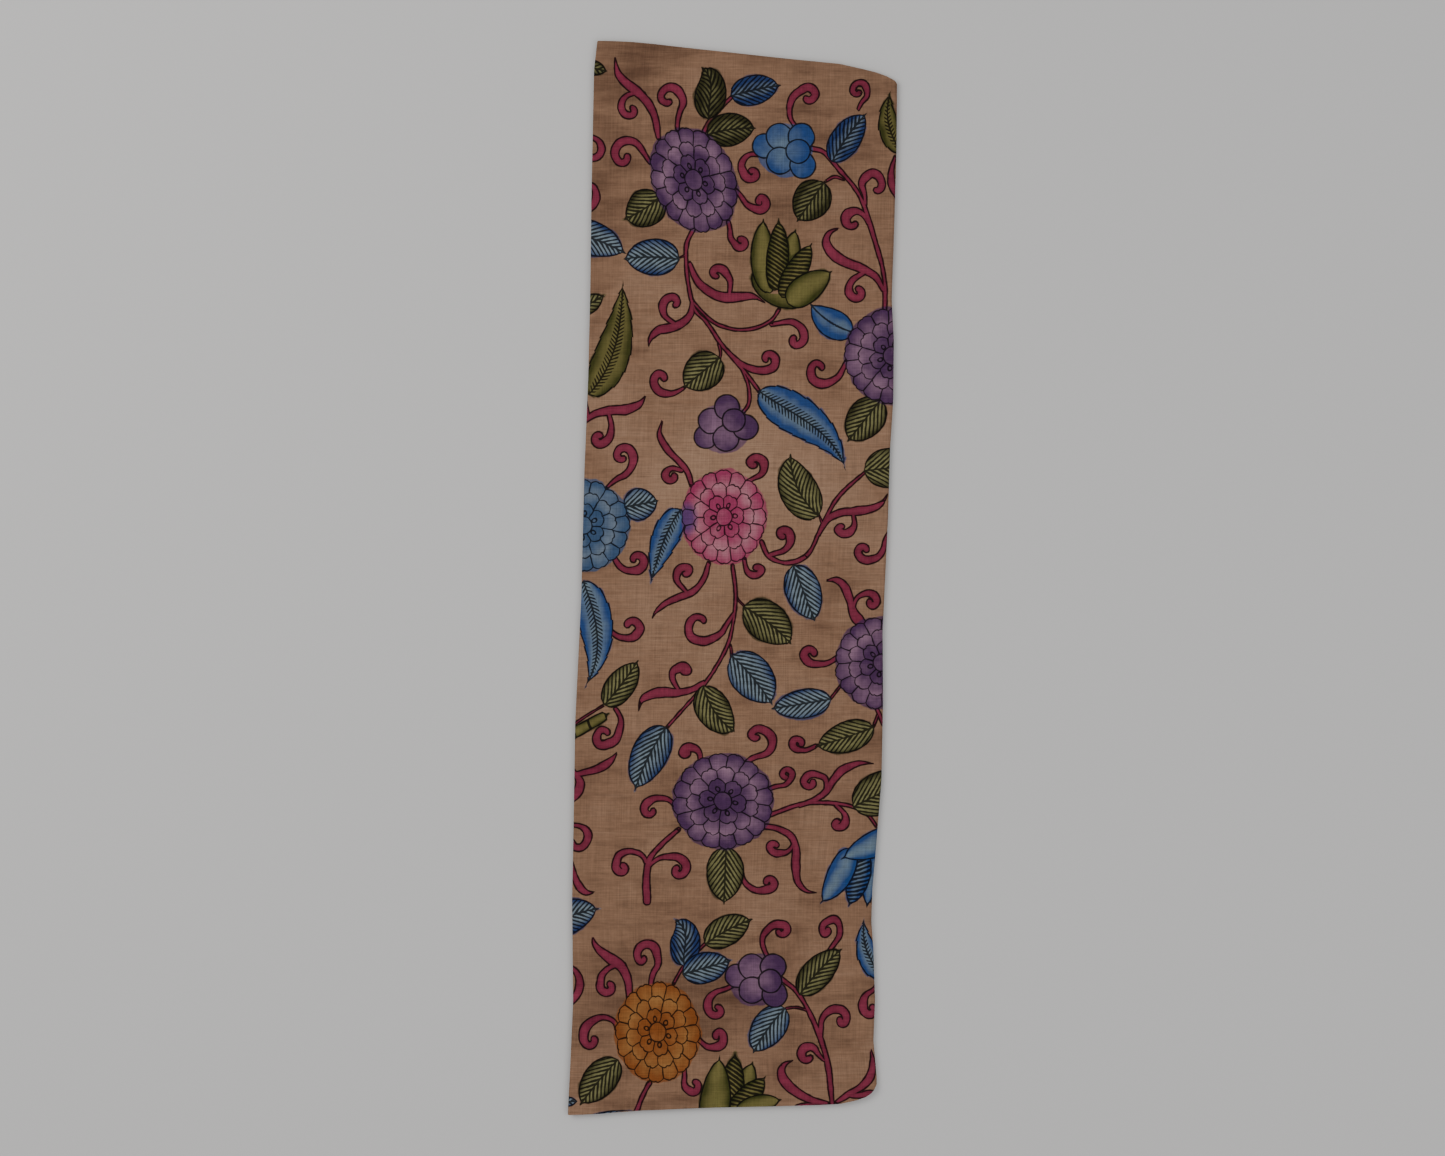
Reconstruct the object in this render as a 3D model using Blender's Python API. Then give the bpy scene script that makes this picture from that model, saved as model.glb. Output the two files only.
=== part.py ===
"""Painted cotton panel, folded lengthwise in four and laid flat on a surface.

The cloth is one closed sheet. Seen from its lower end, its section starts at a free long edge in
the lowest layer, runs right, turns round the wide outer fold into the top layer, runs left, turns
round the left fold into the layer under the top one, runs right, turns round the small inner fold
and ends at the other free long edge, in the second layer from below. The section is swept along
the length of the panel, so that both long sides of the top layer are folds and both ends are cut.

Frame: +Z up, +Y along the panel towards its slanting end, +X to the right as seen from above,
origin at the centre of the bounding box on the surface that the panel rests on. Metres.
"""

import math
from typing import NamedTuple

import bpy
import bmesh
import numpy as np

MM = 0.001

# Driving sizes of the cloth, its folds and its mesh
THICKNESS = 1.0 * MM
LAYER_PITCH = 1.6 * MM
OUTER_FOLD_REACH = 2.4 * MM
INNER_FOLD_REACH = 0.8 * MM
INNER_FOLD_INSET = 1.6 * MM
LENGTH = 1001.0 * MM
STATIONS = 32
FLAT_STEPS = 11
TOP_STEPS = 15
OUTER_FOLD_STEPS = 7
INNER_FOLD_STEPS = 5

# Layers, counted upwards from the surface
LOWEST, SECOND, THIRD, TOP = range(4)


class SidePoint(NamedTuple):
    """Place of a long side of the top layer, in mm."""

    along: float
    across: float


class EndPoint(NamedTuple):
    """Places of the two cut ends at a share of the width from left to right, in mm."""

    share: float
    upper: float
    lower: float


class FreeEdges(NamedTuple):
    """Distances from the left side to the two free long edges, in mm."""

    along: float
    lowest: float
    second: float


class Swell(NamedTuple):
    """A soft long swell of the top layer, in mm, with its direction in degrees."""

    across: float
    along: float
    turn: float
    half_length: float
    half_width: float
    height: float


LEFT_SIDE = (
    SidePoint(-500.5, -153.5),
    SidePoint(-450.0, -151.0),
    SidePoint(-394.0, -148.5),
    SidePoint(-300.0, -149.5),
    SidePoint(-254.0, -148.5),
    SidePoint(-132.0, -146.5),
    SidePoint(-20.0, -141.0),
    SidePoint(100.0, -138.0),
    SidePoint(185.0, -134.5),
    SidePoint(269.0, -132.5),
    SidePoint(353.0, -131.5),
    SidePoint(474.0, -129.0),
    SidePoint(500.5, -126.0),
)

RIGHT_SIDE = (
    SidePoint(-473.0, 134.5),
    SidePoint(-465.0, 134.5),
    SidePoint(-431.0, 131.5),
    SidePoint(-394.0, 133.0),
    SidePoint(-347.0, 131.5),
    SidePoint(-320.0, 129.5),
    SidePoint(-290.0, 130.5),
    SidePoint(-244.0, 134.5),
    SidePoint(-188.0, 139.0),
    SidePoint(-114.0, 140.5),
    SidePoint(-50.0, 140.0),
    SidePoint(-20.0, 141.5),
    SidePoint(54.0, 145.0),
    SidePoint(120.0, 147.0),
    SidePoint(166.0, 150.0),
    SidePoint(222.0, 150.5),
    SidePoint(260.0, 148.5),
    SidePoint(315.0, 150.5),
    SidePoint(400.0, 153.0),
    SidePoint(460.0, 153.5),
)

CUT_ENDS = (
    EndPoint(0.000, 500.5, -500.5),
    EndPoint(0.050, 500.3, -500.0),
    EndPoint(0.115, 499.5, -499.0),
    EndPoint(0.190, 497.5, -496.5),
    EndPoint(0.300, 494.0, -495.5),
    EndPoint(0.450, 489.5, -493.5),
    EndPoint(0.630, 484.0, -492.5),
    EndPoint(0.810, 479.0, -491.0),
    EndPoint(0.880, 474.5, -490.0),
    EndPoint(0.930, 471.0, -487.0),
    EndPoint(0.965, 467.5, -483.5),
    EndPoint(0.985, 464.5, -479.5),
    EndPoint(1.000, 460.0, -473.0),
)

FREE_EDGES = (
    FreeEdges(-500.0, 5.0, 8.0),
    FreeEdges(-300.0, 4.0, 5.0),
    FreeEdges(-100.0, 7.0, 4.5),
    FreeEdges(100.0, 5.5, 7.5),
    FreeEdges(300.0, 4.0, 9.0),
    FreeEdges(500.0, 6.0, 6.5),
)

SWELLS = (
    Swell(-40.0, 455.0, -8.0, 120.0, 16.0, 0.9),
    Swell(95.0, 400.0, 70.0, 80.0, 22.0, 1.1),
    Swell(-95.0, 330.0, 84.0, 110.0, 17.0, 1.0),
    Swell(20.0, 215.0, 12.0, 105.0, 24.0, 1.3),
    Swell(85.0, 60.0, 74.0, 120.0, 24.0, 1.2),
    Swell(-60.0, 20.0, 5.0, 85.0, 20.0, 1.0),
    Swell(-20.0, -150.0, -10.0, 115.0, 24.0, 1.2),
    Swell(-100.0, -235.0, 86.0, 120.0, 17.0, 1.0),
    Swell(60.0, -330.0, 18.0, 90.0, 22.0, 1.4),
    Swell(-20.0, -450.0, -4.0, 110.0, 18.0, 0.8),
)

# How far each layer stays back from the cut ends of the top one
END_INSET = {LOWEST: 4.0 * MM, SECOND: 3.0 * MM, THIRD: 1.5 * MM, TOP: 0.0}

COTTON_GROUND = (0.176, 0.090, 0.058, 1.0)


def read_table(rows, key, value, place):
    """Return a value in metres, read between the rows of a table."""
    keys = [getattr(row, key) for row in rows]
    values = [getattr(row, value) for row in rows]
    return float(np.interp(place, keys, values)) * MM


def side_places(y):
    """Return where the left and the right side of the top layer lie."""
    left = read_table(LEFT_SIDE, "along", "across", y / MM)
    right = read_table(RIGHT_SIDE, "along", "across", y / MM)
    return left, right


def top_lift(x, y):
    """Return how far the top layer is lifted at a place, less near its two folds."""
    lift = 0.0
    for swell in SWELLS:
        dx = x - swell.across * MM
        dy = y - swell.along * MM
        turn = math.radians(swell.turn)
        along = (dx * math.cos(turn) + dy * math.sin(turn)) / (swell.half_length * MM)
        across = (dy * math.cos(turn) - dx * math.sin(turn)) / (swell.half_width * MM)
        lift += swell.height * MM * math.exp(-along * along - across * across)
    left, right = side_places(y)
    near_side = min(1.0, max(0.0, min(x - left, right - x) / (30.0 * MM)))
    return lift * (0.25 + 0.75 * near_side * near_side * (3.0 - 2.0 * near_side))


def layer_height(layer, x, y):
    """Return the height of the middle of a layer."""
    return THICKNESS / 2.0 + LAYER_PITCH * layer + top_lift(x, y) * layer / TOP


def layer_run(layer, start_x, end_x, steps, y):
    """Return points (x, height, end inset) along a layer, without its last point."""
    points = []
    for step in range(steps):
        x = start_x + (end_x - start_x) * step / steps
        points.append((x, layer_height(layer, x, y), END_INSET[layer]))
    return points


def fold_run(layer_from, layer_to, centre_x, reach, steps, y):
    """Return points round a fold, without its last point; reach is negative for a left fold."""
    z_from = layer_height(layer_from, centre_x, y)
    z_to = layer_height(layer_to, centre_x, y)
    points = []
    for step in range(steps):
        share = step / steps
        angle = math.pi * (share - 0.5)
        x = centre_x + reach * math.cos(angle)
        z = (z_from + z_to) / 2.0 + (z_to - z_from) / 2.0 * math.sin(angle)
        inset = END_INSET[layer_from] + (END_INSET[layer_to] - END_INSET[layer_from]) * share
        points.append((x, z, inset))
    return points


def section(y):
    """Return the middle line of the folded cloth at one place along it."""
    left, right = side_places(y)
    outer_x = right - THICKNESS / 2.0 - OUTER_FOLD_REACH
    inner_x = outer_x - INNER_FOLD_INSET
    left_x = left + THICKNESS / 2.0 + INNER_FOLD_REACH
    lowest_edge_x = left + read_table(FREE_EDGES, "along", "lowest", y / MM)
    second_edge_x = left + read_table(FREE_EDGES, "along", "second", y / MM)
    points = layer_run(LOWEST, lowest_edge_x, outer_x, FLAT_STEPS, y)
    points += fold_run(LOWEST, TOP, outer_x, OUTER_FOLD_REACH, OUTER_FOLD_STEPS, y)
    points += layer_run(TOP, outer_x, left_x, TOP_STEPS, y)
    points += fold_run(TOP, THIRD, left_x, -INNER_FOLD_REACH, INNER_FOLD_STEPS, y)
    points += layer_run(THIRD, left_x, inner_x, FLAT_STEPS, y)
    points += fold_run(THIRD, SECOND, inner_x, INNER_FOLD_REACH, INNER_FOLD_STEPS, y)
    points += layer_run(SECOND, inner_x, second_edge_x, FLAT_STEPS, y)
    points.append((second_edge_x, layer_height(SECOND, second_edge_x, y), END_INSET[SECOND]))
    return points


def two_faces(points):
    """Return the two faces of the cloth beside its middle line, as arrays of (x, height)."""
    middle = np.array([(x, z) for x, z, _ in points])
    before = np.vstack([middle[:1], middle[:-1]])
    after = np.vstack([middle[1:], middle[-1:]])
    tangent = after - before
    tangent /= np.linalg.norm(tangent, axis=1)[:, None]
    normal = np.column_stack([-tangent[:, 1], tangent[:, 0]])
    return middle - normal * THICKNESS / 2.0, middle + normal * THICKNESS / 2.0


def end_places(x, y, inset):
    """Return where a lengthwise thread ends at the lower and at the upper cut end."""
    left, right = side_places(y)
    share = min(1.0, max(0.0, (x - left) / (right - left)))
    upper = read_table(CUT_ENDS, "share", "upper", share) - inset
    lower = read_table(CUT_ENDS, "share", "lower", share) + inset
    return lower, upper


def station(share):
    """Return the points of the two faces of the cloth at one share of its length."""
    first_y = LENGTH * (share - 0.5)
    face_a = []
    face_b = []
    for index, (x, _, inset) in enumerate(section(first_y)):
        lower, upper = end_places(x, first_y, inset)
        y = lower + (upper - lower) * share
        side_a, side_b = two_faces(section(y))
        face_a.append((side_a[index][0], y, side_a[index][1]))
        face_b.append((side_b[index][0], y, side_b[index][1]))
    return face_a, face_b


def new_material(name, color, roughness):
    """Return a plain material with one surface shader."""
    material = bpy.data.materials.new(name)
    material.use_nodes = True
    shader = material.node_tree.nodes["Principled BSDF"]
    shader.inputs["Base Color"].default_value = color
    shader.inputs["Roughness"].default_value = roughness
    return material


def build_folded_panel():
    """Build the folded cloth as one closed sheet with rims along its edges and ends."""
    mesh = bmesh.new()
    stations = []
    for index in range(STATIONS):
        face_a, face_b = station(index / (STATIONS - 1))
        row_a = [mesh.verts.new(point) for point in face_a]
        row_b = [mesh.verts.new(point) for point in face_b]
        stations.append((row_a, row_b))
    for (row_a, row_b), (next_a, next_b) in zip(stations, stations[1:]):
        ring = row_a + row_b[::-1]
        next_ring = next_a + next_b[::-1]
        for index in range(len(ring)):
            after = (index + 1) % len(ring)
            mesh.faces.new((ring[index], ring[after], next_ring[after], next_ring[index]))
    for row_a, row_b in (stations[0], stations[-1]):
        for index in range(len(row_a) - 1):
            mesh.faces.new((row_a[index], row_a[index + 1], row_b[index + 1], row_b[index]))
    bmesh.ops.triangulate(mesh, faces=mesh.faces[:])
    bmesh.ops.recalc_face_normals(mesh, faces=mesh.faces[:])
    if mesh.calc_volume(signed=True) < 0.0:
        bmesh.ops.reverse_faces(mesh, faces=mesh.faces[:])
    data = bpy.data.meshes.new("folded_panel")
    mesh.to_mesh(data)
    mesh.free()
    panel = bpy.data.objects.new("folded_panel", data)
    bpy.context.scene.collection.objects.link(panel)
    data.materials.append(new_material("painted_cotton", COTTON_GROUND, 0.9))
    return panel


def main():
    """Clear the scene and build the panel."""
    for thing in list(bpy.data.objects):
        bpy.data.objects.remove(thing, do_unlink=True)
    build_folded_panel()


main()
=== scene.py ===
"""Painted cotton panel with a flowering vine, folded lengthwise in four and laid flat.

The cloth is one thin closed sheet that follows the folds of its solid. Its pattern is drawn by
formula in the material: places, sizes and dyes of the motifs stand in short tables below, each
face of the cloth carries the numbers of the motifs that touch it, and the nodes turn them into
ink lines, washes and petals. Lengths in the tables are in millimetres on the strip as seen from
above, x to the right and y towards the slanting end.
"""

import logging
import math
from dataclasses import dataclass, field
from enum import Enum, IntEnum
from functools import partial
from typing import Any, NamedTuple

import bpy
import numpy as np
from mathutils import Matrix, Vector


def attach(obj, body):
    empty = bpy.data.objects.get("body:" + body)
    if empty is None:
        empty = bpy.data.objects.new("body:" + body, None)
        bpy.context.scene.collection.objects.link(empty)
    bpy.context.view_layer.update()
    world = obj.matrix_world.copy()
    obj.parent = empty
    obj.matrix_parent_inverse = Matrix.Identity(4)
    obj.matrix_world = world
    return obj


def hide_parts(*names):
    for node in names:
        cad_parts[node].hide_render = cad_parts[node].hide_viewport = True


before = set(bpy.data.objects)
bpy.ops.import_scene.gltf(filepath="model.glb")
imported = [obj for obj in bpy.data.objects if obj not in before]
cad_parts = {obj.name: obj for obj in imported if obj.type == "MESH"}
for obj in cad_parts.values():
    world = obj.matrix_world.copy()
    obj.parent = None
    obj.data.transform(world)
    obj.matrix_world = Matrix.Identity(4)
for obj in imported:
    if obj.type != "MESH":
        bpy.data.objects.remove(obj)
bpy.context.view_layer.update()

log = logging.getLogger("panel")

MM = 0.001
FAR = 99.0

# A leaf's paleness moves the number of its dye by this share of a whole one, so little that the
# nearest whole number still tells the dye.
PALENESS_SHARE = 0.4

# How many crimson bands and how many leaves can meet on one face of the cloth.
VINE_BANDS = 3
LEAF_SLOTS = ("under", "back", "front")

Point = tuple[float, float]
Colour = tuple[float, float, float]


class Layer(IntEnum):
    """Layers of the folded cloth, counted upwards."""

    LOWEST = 0
    SECOND = 1
    THIRD = 2
    TOP = 3


class Dye(Enum):
    """Dyes of the washes; the value is the place on the dye ramps."""

    BLUE = 0
    OLIVE = 1
    PURPLE = 2
    PINK = 3
    ORANGE = 4
    SKY = 5
    MOSS = 6
    SLATE = 7


class LeafForm(NamedTuple):
    """Numbers of a leaf's drawing.

    The strokes stand a pitch apart along the axis, lean by a length for each length across and
    reach over a share of the half width. A tooth is a nick's depth, or -1 for a petal that is
    hatched straight across. Blunt and sharp shape the base and the tip.
    """

    pitch: float
    lean: float
    reach: float
    tooth: float
    blunt: float
    sharp: float


class LeafKind(Enum):
    """Ways to draw a leaf or a pointed petal."""

    VEINED = LeafForm(6.0, 1.45, 1.0, 0.0, 0.50, 0.62)
    NOTCHED = LeafForm(3.5, 0.75, 0.36, 1.2, 0.50, 0.95)
    HATCHED = LeafForm(4.0, 0.55, 1.0, -1.0, 0.45, 0.60)
    LEVEL = LeafForm(4.0, -0.45, 1.0, -1.0, 0.45, 0.60)
    RIBBED = LeafForm(3.0, 0.0, 0.08, 0.0, 0.50, 0.75)
    PLAIN = LeafForm(9.0, 0.0, 0.0, 0.0, 0.42, 0.62)
    POD = LeafForm(17.0, 0.10, 1.0, -1.0, 0.10, 0.10)


# Tables of the strip


class SidePoint(NamedTuple):
    """Place of a long side of the top layer."""

    along: float
    across: float


class EndPoint(NamedTuple):
    """Places of the two cut ends at a share of the width from left to right."""

    share: float
    upper: float
    lower: float


class FreeEdges(NamedTuple):
    """Distances from the left side to the two free long edges."""

    along: float
    lowest: float
    second: float


class Swell(NamedTuple):
    """A soft long swell of the top layer, with its direction in degrees."""

    across: float
    along: float
    turn: float
    half_length: float
    half_width: float
    height: float


class Crease(NamedTuple):
    """A pressed line or soft wrinkle: its places, half width and height, negative for a trough."""

    places: tuple[Point, ...]
    half_width: float
    height: float


LEFT_SIDE = (
    SidePoint(-500.5, -153.5),
    SidePoint(-450.0, -151.0),
    SidePoint(-394.0, -148.5),
    SidePoint(-300.0, -149.5),
    SidePoint(-254.0, -148.5),
    SidePoint(-132.0, -146.5),
    SidePoint(-20.0, -141.0),
    SidePoint(100.0, -138.0),
    SidePoint(185.0, -134.5),
    SidePoint(269.0, -132.5),
    SidePoint(353.0, -131.5),
    SidePoint(474.0, -129.0),
    SidePoint(500.5, -126.0),
)

RIGHT_SIDE = (
    SidePoint(-473.0, 134.5),
    SidePoint(-465.0, 134.5),
    SidePoint(-431.0, 131.5),
    SidePoint(-394.0, 133.0),
    SidePoint(-347.0, 131.5),
    SidePoint(-320.0, 129.5),
    SidePoint(-290.0, 130.5),
    SidePoint(-244.0, 134.5),
    SidePoint(-188.0, 139.0),
    SidePoint(-114.0, 140.5),
    SidePoint(-50.0, 140.0),
    SidePoint(-20.0, 141.5),
    SidePoint(54.0, 145.0),
    SidePoint(120.0, 147.0),
    SidePoint(166.0, 150.0),
    SidePoint(222.0, 150.5),
    SidePoint(260.0, 148.5),
    SidePoint(315.0, 150.5),
    SidePoint(400.0, 153.0),
    SidePoint(460.0, 153.5),
)

CUT_ENDS = (
    EndPoint(0.000, 500.5, -500.5),
    EndPoint(0.050, 500.3, -500.0),
    EndPoint(0.115, 499.5, -499.0),
    EndPoint(0.190, 497.5, -496.5),
    EndPoint(0.300, 494.0, -495.5),
    EndPoint(0.450, 489.5, -493.5),
    EndPoint(0.630, 484.0, -492.5),
    EndPoint(0.810, 479.0, -491.0),
    EndPoint(0.880, 474.5, -490.0),
    EndPoint(0.930, 471.0, -487.0),
    EndPoint(0.965, 467.5, -483.5),
    EndPoint(0.985, 464.5, -479.5),
    EndPoint(1.000, 462.0, -473.0),
)

FREE_EDGES = (
    FreeEdges(-500.0, 5.0, 8.0),
    FreeEdges(-300.0, 4.0, 5.0),
    FreeEdges(-100.0, 7.0, 4.5),
    FreeEdges(100.0, 5.5, 7.5),
    FreeEdges(300.0, 4.0, 9.0),
    FreeEdges(500.0, 6.0, 6.5),
)

SWELLS = (
    Swell(-40.0, 455.0, -8.0, 120.0, 16.0, 0.9),
    Swell(95.0, 400.0, 70.0, 80.0, 22.0, 1.1),
    Swell(-95.0, 330.0, 84.0, 110.0, 17.0, 1.0),
    Swell(20.0, 215.0, 12.0, 105.0, 24.0, 1.3),
    Swell(85.0, 60.0, 74.0, 120.0, 24.0, 1.2),
    Swell(-60.0, 20.0, 5.0, 85.0, 20.0, 1.0),
    Swell(-20.0, -150.0, -10.0, 115.0, 24.0, 1.2),
    Swell(-100.0, -235.0, 86.0, 120.0, 17.0, 1.0),
    Swell(60.0, -330.0, 18.0, 90.0, 22.0, 1.4),
    Swell(-20.0, -450.0, -4.0, 110.0, 18.0, 0.8),
)

CREASES = (
    Crease(((-124, 500), (-118, 268), (-110, -20), (-105, -301), (-105, -420)), 1.6, 0.30),
    Crease(((-121, 500), (-126, 380), (-127, 200), (-133, 20)), 3.0, -0.35),
    Crease(((-120, 482), (-60, 476), (20, 470), (90, 462)), 4.5, 0.40),
    Crease(((146, 452), (147, 300), (143, 190)), 2.5, -0.30),
    Crease(((-60, 300), (10, 296), (70, 282)), 6.0, 0.35),
    Crease(((20, 120), (60, 60), (80, -30)), 6.0, 0.30),
    Crease(((-140, -60), (-70, -45), (0, -52)), 5.0, 0.30),
    Crease(((40, -260), (52, -300), (48, -350)), 6.0, 0.35),
    Crease(((-130, -470), (-40, -462), (60, -470)), 5.0, 0.30),
)


# Tables of the pattern


class Flower(NamedTuple):
    """A round flower of three rings of petals: centre, half sizes, turn in degrees, dye, seed."""

    x: float
    y: float
    half_x: float
    half_y: float
    turn: float
    dye: Dye
    seed: float


class Bud(NamedTuple):
    """A bud of six round lobes: centre, radius, direction of its stem in degrees, dye, seed."""

    x: float
    y: float
    radius: float
    turn: float
    dye: Dye
    seed: float


class Ring(NamedTuple):
    """A ring of a flower's petals, with lengths counted from its centre to its rim at 1.

    The floor is where the next ring inwards begins. Shades run from 0 for the deep dye to 1 for
    the pale one: the base at the rim, the lift added down to the floor, and the chance by which
    single petals differ.
    """

    count: int
    rim: float
    depth: float
    floor: float
    base: float
    lift: float
    chance: float


class Lobe(NamedTuple):
    """A round lobe of a bud: its centre and radius in the bud's frame, and its shade."""

    x: float
    y: float
    radius: float
    base: float


class Leaf(NamedTuple):
    """A leaf or pointed petal: base, tip, width, sideways bow of its axis, kind and dye.

    The hook bends its outer part alone. Its paleness is 0 for the dye as it stands in the
    finish and below 0 where more dye was laid on.
    """

    base: Point
    tip: Point
    width: float
    bow: float
    kind: LeafKind
    dye: Dye
    hook: float = 0.0
    paleness: float = 0.0


class Stem(NamedTuple):
    """A stem through its places, with half widths at its two ends."""

    places: tuple[Point, ...]
    start: float
    end: float


class Tendril(NamedTuple):
    """A tendril from its root to the places on its curl, with its half widths on the way."""

    places: tuple[Point, ...]
    belly: float = 4.4
    root: float = 1.9
    knob: float = 3.4

    def half_width(self, share: np.ndarray) -> np.ndarray:
        """Return the half width at a share of the length: slim, full in its belly, then a knob."""
        knob = min(self.knob, self.belly * 0.85)
        stops = (self.root, self.belly, self.belly * 0.9, knob * 1.05, knob * 0.9)
        return np.interp(share, (0, 0.42, 0.68, 0.86, 1), stops)


class Flame(NamedTuple):
    """A pointed lobe through its places, from its root to its tip, with its half widths."""

    places: tuple[Point, ...]
    belly: float
    root: float = 2.1

    def half_width(self, share: np.ndarray) -> np.ndarray:
        """Return the half width at a share of the length, which swells and then runs to a point."""
        root, belly = self.root, self.belly
        stops = (root, max(root * 1.3, belly * 0.6), belly * 0.85, belly, belly * 0.72, 0.0)
        return np.interp(share, (0, 0.12, 0.38, 0.62, 0.80, 1), stops)


class Patch(NamedTuple):
    """A soft darker patch of the ground, a stain or the painted shade along the upper cut end: centre, half
    sizes and strength, below 0 where it is paler.
    """

    x: float
    y: float
    half_x: float
    half_y: float
    strength: float


# Darker and paler stains of the ground, with one band of painted shade.
STAINS_AND_SHADE = (
    Patch(-100, 440, 55, 95, 0.55),
    # Painted shade: a darker band along the upper cut end, where the cloth turns.
    Patch(-20, 496, 190, 17, 0.42),
    Patch(92, 425, 48, 58, 0.62),
    Patch(38, 330, 30, 34, 0.34),
    Patch(-122, 330, 20, 80, 0.30),
    Patch(10, 92, 120, 62, -0.62),
    Patch(-112, 190, 40, 60, -0.20),
    Patch(-130, 40, 22, 50, 0.28),
    Patch(0, -10, 170, 60, -0.10),
    Patch(-20, -200, 170, 40, 0.20),
    Patch(-100, -330, 60, 60, 0.20),
    Patch(-50, -385, 75, 42, 0.62),
    Patch(30, -415, 120, 45, 0.30),
    Patch(-130, -470, 40, 45, 0.20),
    Patch(62, -331, 13, 9, 0.35),
    Patch(-72, 249, 8, 5, 0.40),
)

PETAL_RINGS = (
    Ring(16, 1.00, 0.075, 0.70, -0.30, 0.62, 0.55),
    Ring(11, 0.73, 0.100, 0.47, 0.56, -0.55, 0.45),
    Ring(6, 0.485, 0.115, 0.19, -0.02, -0.15, 0.25),
    Ring(1, 0.19, 0.0, 0.0, 0.04, 0.0, 0.0),
)

LOBES = (
    Lobe(-0.73, 0.17, 0.42, 0.12),
    Lobe(-0.20, 0.50, 0.46, 0.15),
    Lobe(0.57, 0.50, 0.46, -0.06),
    Lobe(-0.19, -0.35, 0.47, 0.00),
    Lobe(0.62, -0.50, 0.46, -0.08),
    Lobe(0.46, -0.02, 0.42, -0.22),
)

# Violet dye on the pink flower's left petals, counted in the flower's frame, whose rim lies at 1.
VIOLET_PATCH = Patch(-0.88, -0.04, 0.30, 0.42, 1.3)

FLOWERS = (
    Flower(-36, 371, 38.5, 51, 25, Dye.PURPLE, 1.0),
    Flower(149, 207, 45, 45, 0, Dye.PURPLE, 2.0),
    Flower(-139, 49, 43, 43, 15, Dye.SLATE, 3.0),
    Flower(-8, 57, 39.5, 44, 0, Dye.PINK, 4.0),
    Flower(139, -79, 44, 43, 20, Dye.PURPLE, 5.0),
    Flower(-9, -208, 47, 45, 0, Dye.PURPLE, 6.0),
    Flower(-70, -423, 39.5, 47, 0, Dye.ORANGE, 7.0),
)

BUDS = (
    Bud(49, 398, 26.5, 0, Dye.SKY, 1.0),
    Bud(-8, 140, 25.5, 40, Dye.PURPLE, 2.0),
    Bud(23, -375, 26, 0, Dye.PURPLE, 3.0),
)

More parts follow.
